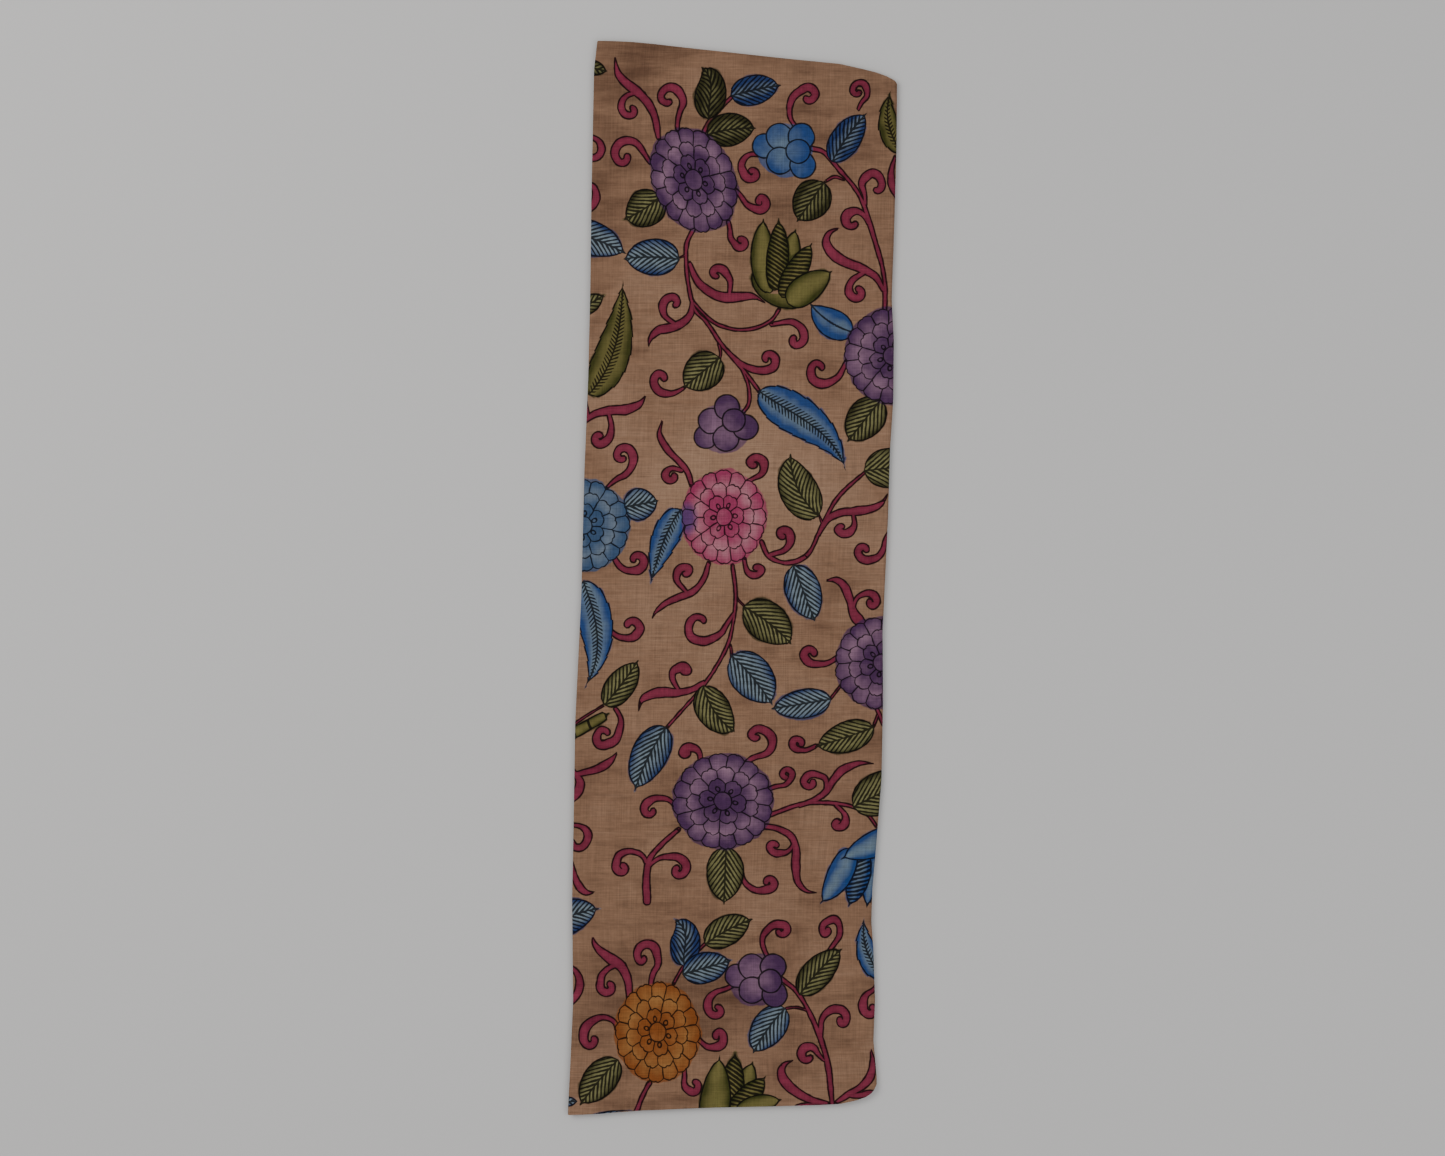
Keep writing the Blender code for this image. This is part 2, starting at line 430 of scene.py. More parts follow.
LEAVES = (
    Leaf((-22, 428), (-29, 476), 29, 0, LeafKind.VEINED, Dye.OLIVE, hook=-6.5, paleness=-1.1),
    Leaf((-1, 449), (45, 459), 28, 1, LeafKind.VEINED, Dye.BLUE, paleness=-1.1),
    Leaf((-23, 413), (22, 419), 31, 2, LeafKind.VEINED, Dye.OLIVE, paleness=-0.9),
    Leaf((93, 388), (125, 433), 28, 2, LeafKind.VEINED, Dye.BLUE, paleness=-1.0),
    Leaf((85, 368), (60, 332), 35, 0, LeafKind.VEINED, Dye.OLIVE, paleness=-0.7),
    Leaf((-67, 356), (-101, 334), 35, 2, LeafKind.VEINED, Dye.OLIVE, paleness=-0.2),
    Leaf((-165, 318), (-99, 302), 33, 8, LeafKind.VEINED, Dye.BLUE, hook=-2),
    Leaf((-50, 297), (-102, 297), 34, -2, LeafKind.VEINED, Dye.BLUE),
    Leaf((-140, 478), (-117, 472), 14, 0, LeafKind.VEINED, Dye.OLIVE, paleness=-0.5),
    Leaf((-146, 248), (-120, 263), 17, 0, LeafKind.VEINED, Dye.OLIVE),
    Leaf((112, 229), (72, 256), 27, 4, LeafKind.RIBBED, Dye.SKY, paleness=-0.9),
    Leaf((-12, 205), (-46, 177), 35, 0, LeafKind.VEINED, Dye.OLIVE),
    Leaf((-101, 66), (-69, 72), 30, 0, LeafKind.VEINED, Dye.BLUE, paleness=0.3),
    Leaf((80, 58), (54, 115.5), 36, 7, LeafKind.VEINED, Dye.OLIVE, paleness=0.2),
    Leaf((123, 100), (178, 106), 37, 0, LeafKind.VEINED, Dye.OLIVE, paleness=0.2),
    Leaf((138, 166), (107, 127), 35, 0, LeafKind.VEINED, Dye.OLIVE),
    Leaf((57, 11), (77, -41), 33, 0, LeafKind.VEINED, Dye.BLUE, paleness=0.3),
    Leaf((11, -27), (55, -62), 37, 2.5, LeafKind.VEINED, Dye.OLIVE, paleness=0.2),
    Leaf((0, -73), (37, -118), 39, 2, LeafKind.VEINED, Dye.BLUE, paleness=0.3),
    Leaf((-27, -101), (3, -144), 32, -5, LeafKind.VEINED, Dye.OLIVE, paleness=0.2),
    Leaf((-62, -139), (-91, -198), 34, -2.4, LeafKind.VEINED, Dye.BLUE),
    Leaf((-119, -118), (-88, -77), 27, -1, LeafKind.VEINED, Dye.OLIVE),
    Leaf((91, -113), (36, -122), 27, 0, LeafKind.VEINED, Dye.BLUE, paleness=0.2),
    Leaf((131, -139), (77, -157), 29, 1, LeafKind.VEINED, Dye.OLIVE, paleness=0.1),
    Leaf((113, -213), (170, -184), 39, 0, LeafKind.VEINED, Dye.OLIVE, paleness=0.3),
    Leaf((-6, -251), (-8, -304), 35, 0, LeafKind.VEINED, Dye.OLIVE, paleness=0.3),
    Leaf((-176, -330), (-124, -308), 32, 4, LeafKind.VEINED, Dye.BLUE),
    Leaf((-45, -361), (-54, -318), 28, 0, LeafKind.VEINED, Dye.BLUE, hook=-7, paleness=-0.7),
    Leaf((-25, -341), (18, -318), 28, 2, LeafKind.VEINED, Dye.OLIVE, paleness=0.3),
    Leaf((-46, -369), (-1, -356), 29, 0, LeafKind.VEINED, Dye.BLUE, paleness=-0.1),
    Leaf((63, -388), (102, -345.5), 28, 2, LeafKind.VEINED, Dye.OLIVE),
    Leaf((49, -401), (19, -443), 31, -2, LeafKind.VEINED, Dye.BLUE, paleness=0.2),
    Leaf((-107, -449), (-142, -491), 31, -1, LeafKind.VEINED, Dye.OLIVE),
    Leaf((-160, -488), (-145, -487.5), 9, 0, LeafKind.VEINED, Dye.BLUE),
    Leaf((-134, -505), (-88, -499), 12, 0, LeafKind.VEINED, Dye.BLUE),
    Leaf((-134, 171), (-102, 279), 34, -14, LeafKind.NOTCHED, Dye.MOSS, hook=4, paleness=-0.3),
    Leaf((25, 174), (106, 99), 38, 3, LeafKind.NOTCHED, Dye.SKY, hook=8, paleness=-0.8),
    Leaf((-48, 64), (-77, -6), 27, -5, LeafKind.NOTCHED, Dye.SKY, hook=2, paleness=-0.6),
    Leaf((-139, -3), (-138, -103), 33, 9, LeafKind.NOTCHED, Dye.SKY, hook=4, paleness=-0.6),
    Leaf((158, 397), (148, 455), 22, 8, LeafKind.NOTCHED, Dye.MOSS, paleness=-0.6),
    Leaf((142, -372), (123, -316), 23, 8, LeafKind.NOTCHED, Dye.SKY, paleness=-0.6),
    Leaf((-170, -157), (-115, -126), 10.5, 0, LeafKind.POD, Dye.MOSS, paleness=-0.35),
    Leaf((24, 290), (78, 262), 34, -9, LeafKind.PLAIN, Dye.MOSS, paleness=-0.35),
    Leaf((48, 280), (59, 325), 20, 0, LeafKind.PLAIN, Dye.MOSS, paleness=-0.35),
    Leaf((35, 266), (29, 335), 24, 3.5, LeafKind.PLAIN, Dye.MOSS, paleness=-0.35),
    Leaf((39, 268), (43, 335), 21, -1.5, LeafKind.HATCHED, Dye.MOSS, paleness=-0.35),
    Leaf((46, 262), (74, 312), 21, 0, LeafKind.LEVEL, Dye.MOSS, paleness=-0.35),
    Leaf((52, 256), (93, 286), 27, 1, LeafKind.PLAIN, Dye.MOSS, paleness=-0.35),
    Leaf((131, -262), (129, -303), 9, 0, LeafKind.HATCHED, Dye.BLUE),
    Leaf((130, -250), (125, -307), 18, 1, LeafKind.PLAIN, Dye.SKY, paleness=-0.9),
    Leaf((118, -250), (108, -306), 23, 4, LeafKind.LEVEL, Dye.SKY, paleness=-0.7),
    Leaf((110, -252), (82, -303), 24, 3, LeafKind.PLAIN, Dye.SKY, paleness=-0.9),
    Leaf((172, -238), (101, -262), 27, -3, LeafKind.PLAIN, Dye.SKY, paleness=-0.7),
    Leaf((4, -496), (19, -450), 22, 0, LeafKind.PLAIN, Dye.MOSS, paleness=-0.35),
    Leaf((-9, -508), (2.5, -442), 25, -2, LeafKind.HATCHED, Dye.MOSS, paleness=-0.35),
    Leaf((-4, -506), (31, -464), 23, 0, LeafKind.LEVEL, Dye.MOSS, paleness=-0.35),
    Leaf((-19, -520), (-12, -445), 29, 0, LeafKind.PLAIN, Dye.MOSS, paleness=-0.35),
    Leaf((4, -500), (46, -486), 20, 2, LeafKind.PLAIN, Dye.MOSS, paleness=-0.35),
)

STEMS = (
    Stem(
        ((-36, 326), (-43, 309), (-42, 280), (-36, 252), (-24, 238), (-9, 216), (9, 195), (25, 174)),
        2.0,
        1.8,
    ),
    Stem(((-37, 257), (-20, 240), (-5, 233), (10, 231), (25, 234), (37, 241), (44, 251)), 1.8, 1.6),
    Stem(((9, 195), (15, 178), (15, 162), (6, 150)), 1.8, 1.6),
    Stem(((-29, 410), (-20, 427.5), (0, 449)), 2.0, 1.6),
    Stem(((74, 400), (86, 396), (98, 382), (118, 357), (130, 323), (141, 282), (142, 250)), 2.3, 2.0),
    Stem(((27, 34), (34, 20), (52, 14), (71, 23), (84, 50), (99, 76), (125, 100)), 2.2, 1.5),
    Stem(((0, 12), (3, -16), (0, -45), (-7, -68), (-27, -100), (-61, -139)), 2.0, 1.5),
    Stem(((34, -221), (68, -210), (103, -211), (124, -219), (134, -231)), 2.2, 1.6),
    Stem(((-50, -234), (-66, -248), (-77, -262), (-80, -280), (-79.5, -301)), 2.0, 4.0),
    Stem(((-55, -378), (-47, -364), (-36, -351), (-25, -340)), 1.6, 1.3),
    Stem(((44, -372), (62, -388), (79, -421), (89, -455), (93, -492)), 2.2, 2.6),
    Stem(((-77, -470), (-84, -483), (-89, -496)), 2.2, 2.6),
    Stem(((134, -121), (141, -136)), 2.0, 2.0),
    Stem(((136, -126), (131, -139)), 1.4, 1.2),
    Stem(((-2, -62), (0, -76)), 1.2, 1.0),
    Stem(((3, -12), (5, -20), (12, -27)), 1.2, 1.0),
    Stem(((84, 50), (80, 60)), 1.2, 1.0),
    Stem(((-150, -138), (-137, -129), (-119, -118)), 1.4, 1.2),
    Stem(((104, 371), (95, 373.5), (86, 369)), 1.4, 1.1),
    Stem(((-13, 219), (-11, 210), (-12, 204)), 1.3, 1.0),
    Stem(((101, -100), (91, -113)), 1.4, 1.1),
    Stem(((-43, 301), (-50, 298)), 1.2, 1.0),
    Stem(((70, -403), (60, -400), (49, -401)), 1.4, 1.1),
    Stem(((-138, 170), (-136.5, 158), (-134, 149)), 2.0, 2.4),
)

TENDRILS = (
    Tendril(
        (
            (-51.5, 418), (-47.5, 438), (-48.5, 451), (-56, 457),
            (-64.5, 453.5), (-66.5, 446.5), (-61.5, 442.5),
        ),
    ),
    Tendril(
        ((-77, 387), (-86, 401), (-99, 407.5), (-108, 401.5), (-109, 392), (-103, 386.5), (-98, 390)),
    ),
    Tendril(
        (
            (61, 419), (53.5, 430), (54.5, 444), (63.5, 454),
            (73, 456.5), (77, 451.5), (74.5, 446), (70.8, 445),
        ),
    ),
    Tendril(((24, 394), (14, 393.5), (8.5, 386), (10.5, 377), (18, 372), (22, 375.5), (20, 379))),
    Tendril(
        ((117, 436), (123, 446), (125.2, 455), (120, 461.5), (113, 458), (112.3, 452), (116, 450.5)),
        belly=3.3,
    ),
    Tendril(
        (
            (123, 346), (121.5, 362), (124, 373), (131, 377),
            (137.5, 372.5), (138.5, 364), (136.5, 361.5),
        ),
    ),
    Tendril(
        ((127, 330), (119, 340.5), (110, 340.5), (105.5, 334.5), (108, 328.5), (112.5, 328)),
        belly=5.0,
    ),
    Tendril(((2, 362), (11, 351), (20, 344.5), (29, 344.5), (31, 351), (27.5, 354.5), (24.5, 352.5))),
    Tendril(((-4, 332), (-2, 320), (2, 311.5), (9, 308), (11.5, 312), (9.5, 315.5)), belly=4.0),
    Tendril(((36, 236), (50, 238.5), (62, 235), (66.5, 227), (64.5, 219), (58.5, 217), (56, 221))),
    Tendril(
        (
            (-6, 213), (6, 201), (19, 194.5), (31, 193.5),
            (39.5, 199), (39, 206), (33.5, 208.5), (30.5, 206),
        ),
    ),
    Tendril(
        (
            (-45, 177), (-54, 172.5), (-63, 172), (-71, 176.5),
            (-73.3, 183.5), (-69.5, 190), (-64.5, 188.5),
        ),
    ),
    Tendril(
        (
            (107, 203), (101, 191), (93, 183.5), (84, 181),
            (75.5, 184.5), (73, 191.5), (76.5, 199.5), (82, 198.5),
        ),
        belly=4.9,
    ),
    Tendril(
        (
            (-117, 84), (-104, 94), (-94, 104), (-92.5, 114),
            (-98, 121), (-105.5, 119.5), (-107.5, 113), (-104.5, 110.5),
        ),
    ),
    Tendril(((14, 90), (23.5, 94.5), (29.5, 103), (27, 110.5), (20, 111.8), (16, 108), (17.5, 105.5))),
    Tendril(((33, 21), (44, 24), (52.5, 30.5), (54, 38), (49.5, 44.5), (44.3, 43), (44.5, 40))),
    Tendril(
        (
            (150, 46), (142, 32), (137, 21), (128, 17),
            (119.5, 19), (117, 25), (120.5, 29), (123.5, 28.5),
        ),
    ),
    Tendril(
        (
            (-113, 28), (-108, 15), (-101, 8), (-92, 6.8),
            (-84, 10.5), (-82.8, 17), (-87.5, 21.3), (-92, 19.5),
        ),
    ),
    Tendril(
        (
            (-118, -44), (-109, -53), (-99, -56), (-89.5, -52.5),
            (-86.3, -45.5), (-91, -40.5), (-97, -41.5),
        ),
    ),
    Tendril(((11, 18), (13, 8), (18, 3), (24, 3.5), (27, 7.5), (24.5, 10)), belly=4.0),
    Tendril(
        (
            (2, -32), (-8, -48), (-19, -56.5), (-30, -58.5),
            (-39, -54), (-40.5, -45), (-35.5, -37), (-28.5, -37.5),
        ),
    ),
    Tendril(
        (
            (-109, -122), (-104, -133), (-106, -144.5), (-115, -154),
            (-124, -155), (-126.5, -148.5), (-123, -142), (-118.5, -142),
        ),
        belly=4.8,
    ),
    Tendril(((-31, -175), (-31, -163), (-38, -158), (-45, -159.5), (-46.5, -164), (-43.5, -164.5))),
    Tendril(
        (
            (8, -178), (24, -166), (35, -160), (37, -150),
            (30, -142), (20.5, -141.7), (17.5, -146.5), (20, -149),
        ),
    ),
    Tendril(
        (
            (32, -198), (45, -193.5), (54, -187.5), (54.5, -180),
            (49.5, -178.5), (46.5, -182), (47.5, -185),
        ),
        belly=3.4,
    ),
    Tendril(
        (
            (-54, -213), (-60, -206.5), (-69, -205), (-78, -208.5),
            (-82.3, -214.5), (-79.5, -220), (-74.5, -219),
        ),
    ),
    Tendril(
        ((100, -72), (89, -79), (78, -80.2), (69, -76.5), (66.8, -70.5), (70.5, -66.5), (75.5, -68)),
    ),
    Tendril(
        (
            (78, -156), (70, -160), (62.5, -160.2), (56.3, -156),
            (56.8, -151.5), (61, -150.2), (64, -152),
        ),
        belly=3.9,
    ),
    Tendril(
        ((96, -211), (103, -218), (105.2, -226), (101, -232), (95.5, -231), (95.8, -228)),
        belly=4.3,
    ),
    Tendril(
        ((9, -275), (13, -285.5), (22, -291), (32.5, -290), (38.8, -284), (36, -280.5), (32.5, -281)),
    ),
    Tendril(
        (
            (-76, -380), (-71.5, -364), (-70.3, -351), (-77.5, -341.2),
            (-86, -344), (-88.5, -351), (-86, -357.5), (-83.5, -356.5),
        ),
    ),
    Tendril(
        (
            (-108, -420), (-112, -412), (-121, -409.3), (-132, -414),
            (-138.5, -424), (-138, -432), (-133.5, -435.5), (-128.5, -432),
        ),
        belly=4.8,
    ),
    Tendril(
        (
            (-33, -428), (-26, -435), (-17.5, -437), (-9.5, -433.5),
            (-8.7, -427), (-11.5, -422.5), (-15, -424.5),
        ),
    ),
    Tendril(
        ((-45, -455), (-45, -469), (-41, -477), (-36, -479), (-32, -475), (-32.3, -471)),
        belly=4.0,
    ),
    Tendril(
        (
            (36, -356), (29, -345), (28.3, -334), (35, -325.5),
            (44.5, -323), (50.5, -325.5), (48.5, -331), (44.5, -331.5),
        ),
    ),
    Tendril(
        (
            (0, -380), (-12, -384.5), (-21, -391), (-23, -400),
            (-18, -407), (-11.5, -405.5), (-11.5, -401.5),
        ),
    ),
    Tendril(
        (
            (90, -347), (98, -336), (100, -327), (96, -318.5),
            (88.5, -320), (83.7, -327), (86, -331.5), (88.5, -330),
        ),
        belly=4.0,
    ),
    Tendril(
        (
            (82, -432), (82.5, -416), (88, -405), (96, -401.5),
            (103.5, -404), (106, -410), (103, -415.5), (100.5, -414),
        ),
    ),
    Tendril(
        ((85, -449), (78, -440.5), (70, -436.7), (64.7, -441), (66, -448), (70.5, -449)),
        belly=4.7,
    ),
    Tendril(((138, -378), (128, -386), (121.8, -396), (124, -405), (130, -406.5), (132, -402))),
    Tendril(
        (
            (-80, -266), (-86, -257), (-96, -254.5), (-105, -258),
            (-108.2, -266), (-105.5, -273.5), (-101, -273), (-100.5, -269),
        ),
    ),
    Tendril(
        (
            (-79, -270), (-70, -262), (-58, -259.5), (-47, -262),
            (-43, -269), (-46.5, -276), (-52, -276.5), (-53.5, -272.5),
        ),
    ),
    Tendril(
        ((-82, 451), (-94, 451), (-102, 445.5), (-103.2, 437), (-98, 431), (-92.5, 432), (-91.5, 436)),
        belly=3.9,
    ),
    Tendril(
        ((126, 287), (115, 280), (109, 272.5), (109.3, 264.5), (115, 260.8), (120, 264), (119.5, 268)),
    ),
    Tendril(((-3, 262), (-2, 274), (-6, 283.5), (-13, 288.7), (-18, 286), (-17.5, 282.5))),
    Tendril(((-52, 236), (-61, 242), (-65, 251), (-60.5, 260.5), (-54, 261.5), (-51.5, 256.5))),
    Tendril(
        (
            (-116, 155), (-113, 145), (-113.5, 135), (-118.5, 127),
            (-125, 125), (-128.5, 129.5), (-126, 133),
        ),
    ),
    Tendril(((-47, 100), (-54, 102), (-61.5, 99), (-62, 93), (-58, 90.7), (-54.5, 92.5)), belly=3.8),
    Tendril(((112, 62), (113.5, 53), (111, 44.5), (104.5, 41.3), (98.5, 44), (99.5, 47))),
    Tendril(((-42, -14), (-50, -5), (-51.5, 4), (-46.5, 9.8), (-40.5, 8.5), (-41.5, 4.5)), belly=4.2),
    Tendril(
        (
            (-50, -104), (-55.5, -95), (-55.3, -87), (-50, -83.8),
            (-43, -83.5), (-41.5, -86.5), (-44, -87.5),
        ),
        belly=4.7,
    ),
    Tendril(
        (
            (113, -30), (116, -19), (124.5, -14.5), (132.5, -17),
            (134.3, -23), (130.5, -26), (128, -24.5),
        ),
        belly=4.0,
    ),
    Tendril(
        (
            (84, -204), (87.5, -195), (86.5, -187), (78, -183),
            (69, -185), (66.5, -190.5), (71, -194.2), (74.5, -192.5),
        ),
        belly=4.0,
    ),
    Tendril(
        ((57, -246), (53, -253.5), (45, -256.2), (37, -254.5), (35, -249.5), (38.5, -247.5)),
        belly=4.0,
    ),
    Tendril(
        (
            (-101, -360), (-111, -361.5), (-120, -367.5), (-123, -377),
            (-119, -386), (-114, -385), (-112.5, -380),
        ),
        belly=4.1,
    ),
    Tendril(
        ((-142, 410), (-128, 409.5), (-122.7, 403), (-124, 394.5), (-131, 391.5), (-137, 395)),
        belly=4.0,
    ),
    Tendril(((-142, 366), (-128, 362), (-128, 351), (-142, 342)), belly=4.0),
    Tendril(
        ((-155, -232), (-141, -231.5), (-135.2, -237), (-136, -246), (-143, -251.5), (-149, -249)),
        belly=4.0,
    ),
    Tendril(((-158, -362), (-145, -368), (-144, -386), (-160, -398)), belly=4.0),
    Tendril(((152, 392), (148, 378), (152, 360), (160, 352)), belly=4.0),
)

FLAMES = (
    Flame(
        ((-69, 410), (-72, 428), (-79, 443), (-89, 453), (-99, 461), (-107, 471), (-109.5, 486)),
        belly=4.8,
    ),
    Flame(
        (
            (141, 268), (133, 281), (119, 289), (104, 294.5),
            (92, 303.5), (87, 314), (91, 322), (100, 326),
        ),
        belly=5.0,
    ),
    Flame(
        ((-40, 293), (-33, 277), (-21, 266.5), (-8, 261.5), (6, 262), (20, 262), (31, 256)),
        belly=5.0,
    ),
    Flame(
        ((-37.5, 258), (-39, 246), (-47, 237.5), (-58, 233), (-68, 231), (-76, 224), (-78.5, 215)),
        belly=4.6,
    ),
    Flame(((-138, 146), (-128, 153), (-113, 156), (-99, 157), (-87, 162), (-80, 171)), belly=5.0),
    Flame(((-38, 86), (-42, 99), (-50, 109), (-60, 119), (-68, 133), (-65.5, 147)), belly=3.6),
    Flame(((80, 40), (88, 54), (100, 60.5), (114, 62), (128, 64.5), (139, 69.5), (145, 79)), belly=4.4),
    Flame(
        ((-22, 14), (-27, -1), (-36, -12), (-49, -17.5), (-62, -23.5), (-71, -31), (-75, -38)),
        belly=3.7,
    ),
    Flame(
        (
            (-26, -97), (-38, -104), (-52, -107), (-65, -106.5),
            (-77, -109), (-85, -114.5), (-87.5, -124),
        ),
        belly=4.9,
    ),
    Flame(((122, -44), (113, -33), (109, -19), (104.5, -8), (97, -2), (86, -2.5)), belly=4.2, root=4.2),
    Flame(((-152, -184), (-139, -181.5), (-126, -178), (-115, -171.5), (-107, -162)), belly=4.2),
    Flame(((-148, -180), (-142, -192), (-150, -210)), belly=5.0),
    Flame(
        ((62, -212), (76, -207), (87, -199), (95, -187), (104, -178), (118, -172.5), (133, -173)),
        belly=4.0,
    ),
    Flame(
        (
            (24, -231), (40, -233), (54, -240), (59, -252),
            (59, -268), (61, -283), (69, -291.5), (81, -293.5),
        ),
        belly=4.2,
    ),
    Flame(((-152, -262), (-148, -276), (-143, -287), (-136, -293), (-127.5, -292.5)), belly=4.0),
    Flame(
        (
            (-96, -396), (-97, -377), (-103, -363), (-113, -355),
            (-122, -348.5), (-128.5, -341), (-130.5, -333),
        ),
        belly=5.1,
    ),
    Flame(((96, -489), (108, -481), (120, -474), (128.5, -464), (131, -452), (128.5, -438)), belly=4.2),
    Flame(((110, -482), (122, -481.5), (133, -478)), belly=3.6),
    Flame(
        (
            (90, -489.5), (76, -487), (62, -480.5), (51, -471.5),
            (45.5, -461), (48.5, -453), (57.5, -449),
        ),
        belly=4.8,
    ),
    Flame(((60, -493), (76, -490), (94, -492)), belly=1.6),
)


# Curves on the flat cloth


def read_table(rows: tuple, key: str, value: str, place: np.ndarray) -> np.ndarray:
    """Read values between the rows of a table.

    Args:
        rows: Table rows with named columns.
        key: Column that the places are counted in.
        value: Column to read.
        place: Places to read at.

    Returns:
        The values, in the table's unit.
    """
    keys = [getattr(row, key) for row in rows]
    return np.interp(place, keys, [getattr(row, value) for row in rows])


def smooth_line(places: tuple[Point, ...], step: float = 1.0) -> np.ndarray:
    """Return points of a smooth curve through the places, about a step apart."""
    knots = np.array(places, float)
    if len(knots) == 2:
        count = max(3, int(np.linalg.norm(knots[1] - knots[0]) / step) + 1)
        return knots[0] + (knots[1] - knots[0]) * np.linspace(0, 1, count)[:, None]
    ends = np.vstack([2 * knots[0] - knots[1], knots, 2 * knots[-1] - knots[-2]])
    pieces = []
    for a, b, c, d in zip(ends, ends[1:], ends[2:], ends[3:]):
        count = max(2, int(np.linalg.norm(c - b) / step))
        t = (np.arange(count) / count)[:, None]
        pieces.append(
            b + 0.5 * t * (c - a + t * (2 * a - 5 * b + 4 * c - d + t * (3 * (b - c) + d - a)))
        )
    return np.vstack([*pieces, knots[-1:]])


def circle_through(a: np.ndarray, b: np.ndarray, c: np.ndarray) -> np.ndarray:
    """Return the centre of the circle through three points."""
    rows = 2 * np.array([b - a, c - a])
    sums = np.array([b @ b - a @ a, c @ c - a @ a])
    return np.linalg.solve(rows + np.eye(2) * 1e-9, sums)


def curl_line(places: tuple[Point, ...]) -> np.ndarray:
    """Return the middle line of a tendril, whose curl winds evenly and ends in a small hook.

    Args:
        places: The root, then places on the curl, the last one inside it.

    Returns:
        Points about 1 mm apart.
    """
    knots = np.array(places, float)
    on_curl = knots[-4:-1] if len(knots) > 4 else knots[-3:]
    centre = circle_through(*on_curl)
    arms = knots[1:] - centre
    angles = np.unwrap(np.arctan2(arms[:, 1], arms[:, 0]))
    reach = np.linalg.norm(arms, axis=1)
    polar = smooth_line(tuple(zip(angles * 10, reach)), 0.5)
    along = np.linspace(0, 1, len(polar))
    wound = np.array([np.interp(np.linspace(0, 1, 14 * len(arms)), along, polar[:, k]) for k in (0, 1)])
    curl = centre + wound[1][:, None] * np.column_stack([np.cos(wound[0] / 10), np.sin(wound[0] / 10)])
    heading = curl[2] - curl[0]
    heading = heading / np.linalg.norm(heading)
    gap = np.linalg.norm(curl[0] - knots[0])
    t = np.linspace(0, 1, max(3, int(gap)))[:-1, None]
    bend = curl[0] - heading * gap * 0.45
    approach = (1 - t) ** 2 * knots[0] + 2 * t * (1 - t) * bend + t**2 * curl[0]
    return np.vstack([approach, curl, hook_line(curl, float(np.sign(angles[-1] - angles[0])))])


def hook_line(curl: np.ndarray, turn: float, radius: float = 2.4, sweep: float = 1.2) -> np.ndarray:
    """Return a small arc that winds on from the end of a curl, to the left for a turn of 1."""
    heading = curl[-1] - curl[-2]
    start = math.atan2(heading[1], heading[0])
    centre = curl[-1] + radius * turn * np.array([-math.sin(start), math.cos(start)])
    angles = start - turn * math.pi / 2 + turn * np.linspace(0, sweep, 8)[1:]
    return centre + radius * np.column_stack([np.cos(angles), np.sin(angles)])


def arc_lengths(line: np.ndarray) -> np.ndarray:
    """Return the length along a line at each of its points."""
    return np.concatenate([[0.0], np.cumsum(np.linalg.norm(np.diff(line, axis=0), axis=1))])


def nearest_on(line: np.ndarray, points: np.ndarray) -> tuple[np.ndarray, np.ndarray, np.ndarray]:
    """Find where points lie beside a line.

    Args:
        line: Points of the line, shape (n, 2).
        points: Points to place, shape (m, 2).

    Returns:
        Length along the line, signed distance from it, and whether a point is past an end.
    """
    start = line[:-1]
    run = np.diff(line, axis=0)
    size = (run**2).sum(1)
    away = points[:, None] - start[None]
    raw = (away * run).sum(2) / size
    share = np.clip(raw, 0, 1)
    foot = start + run * share[..., None]
    gap = ((points[:, None] - foot) ** 2).sum(2)
    best = gap.argmin(1)
    rows = np.arange(len(points))
    side = run[best, 0] * away[rows, best, 1] - run[best, 1] * away[rows, best, 0]
    past = ((best == 0) & (raw[rows, best] < 0)) | ((best == len(run) - 1) & (raw[rows, best] > 1))
    along = arc_lengths(line)[best] + share[rows, best] * np.sqrt(size[best])
    return along, np.sign(side) * np.sqrt(gap[rows, best]), past


# The folded cloth


class Run(NamedTuple):
    """A stretch of the section: the layer it starts in, the layer it ends in, and its steps."""

    start: Layer
    end: Layer
    steps: int


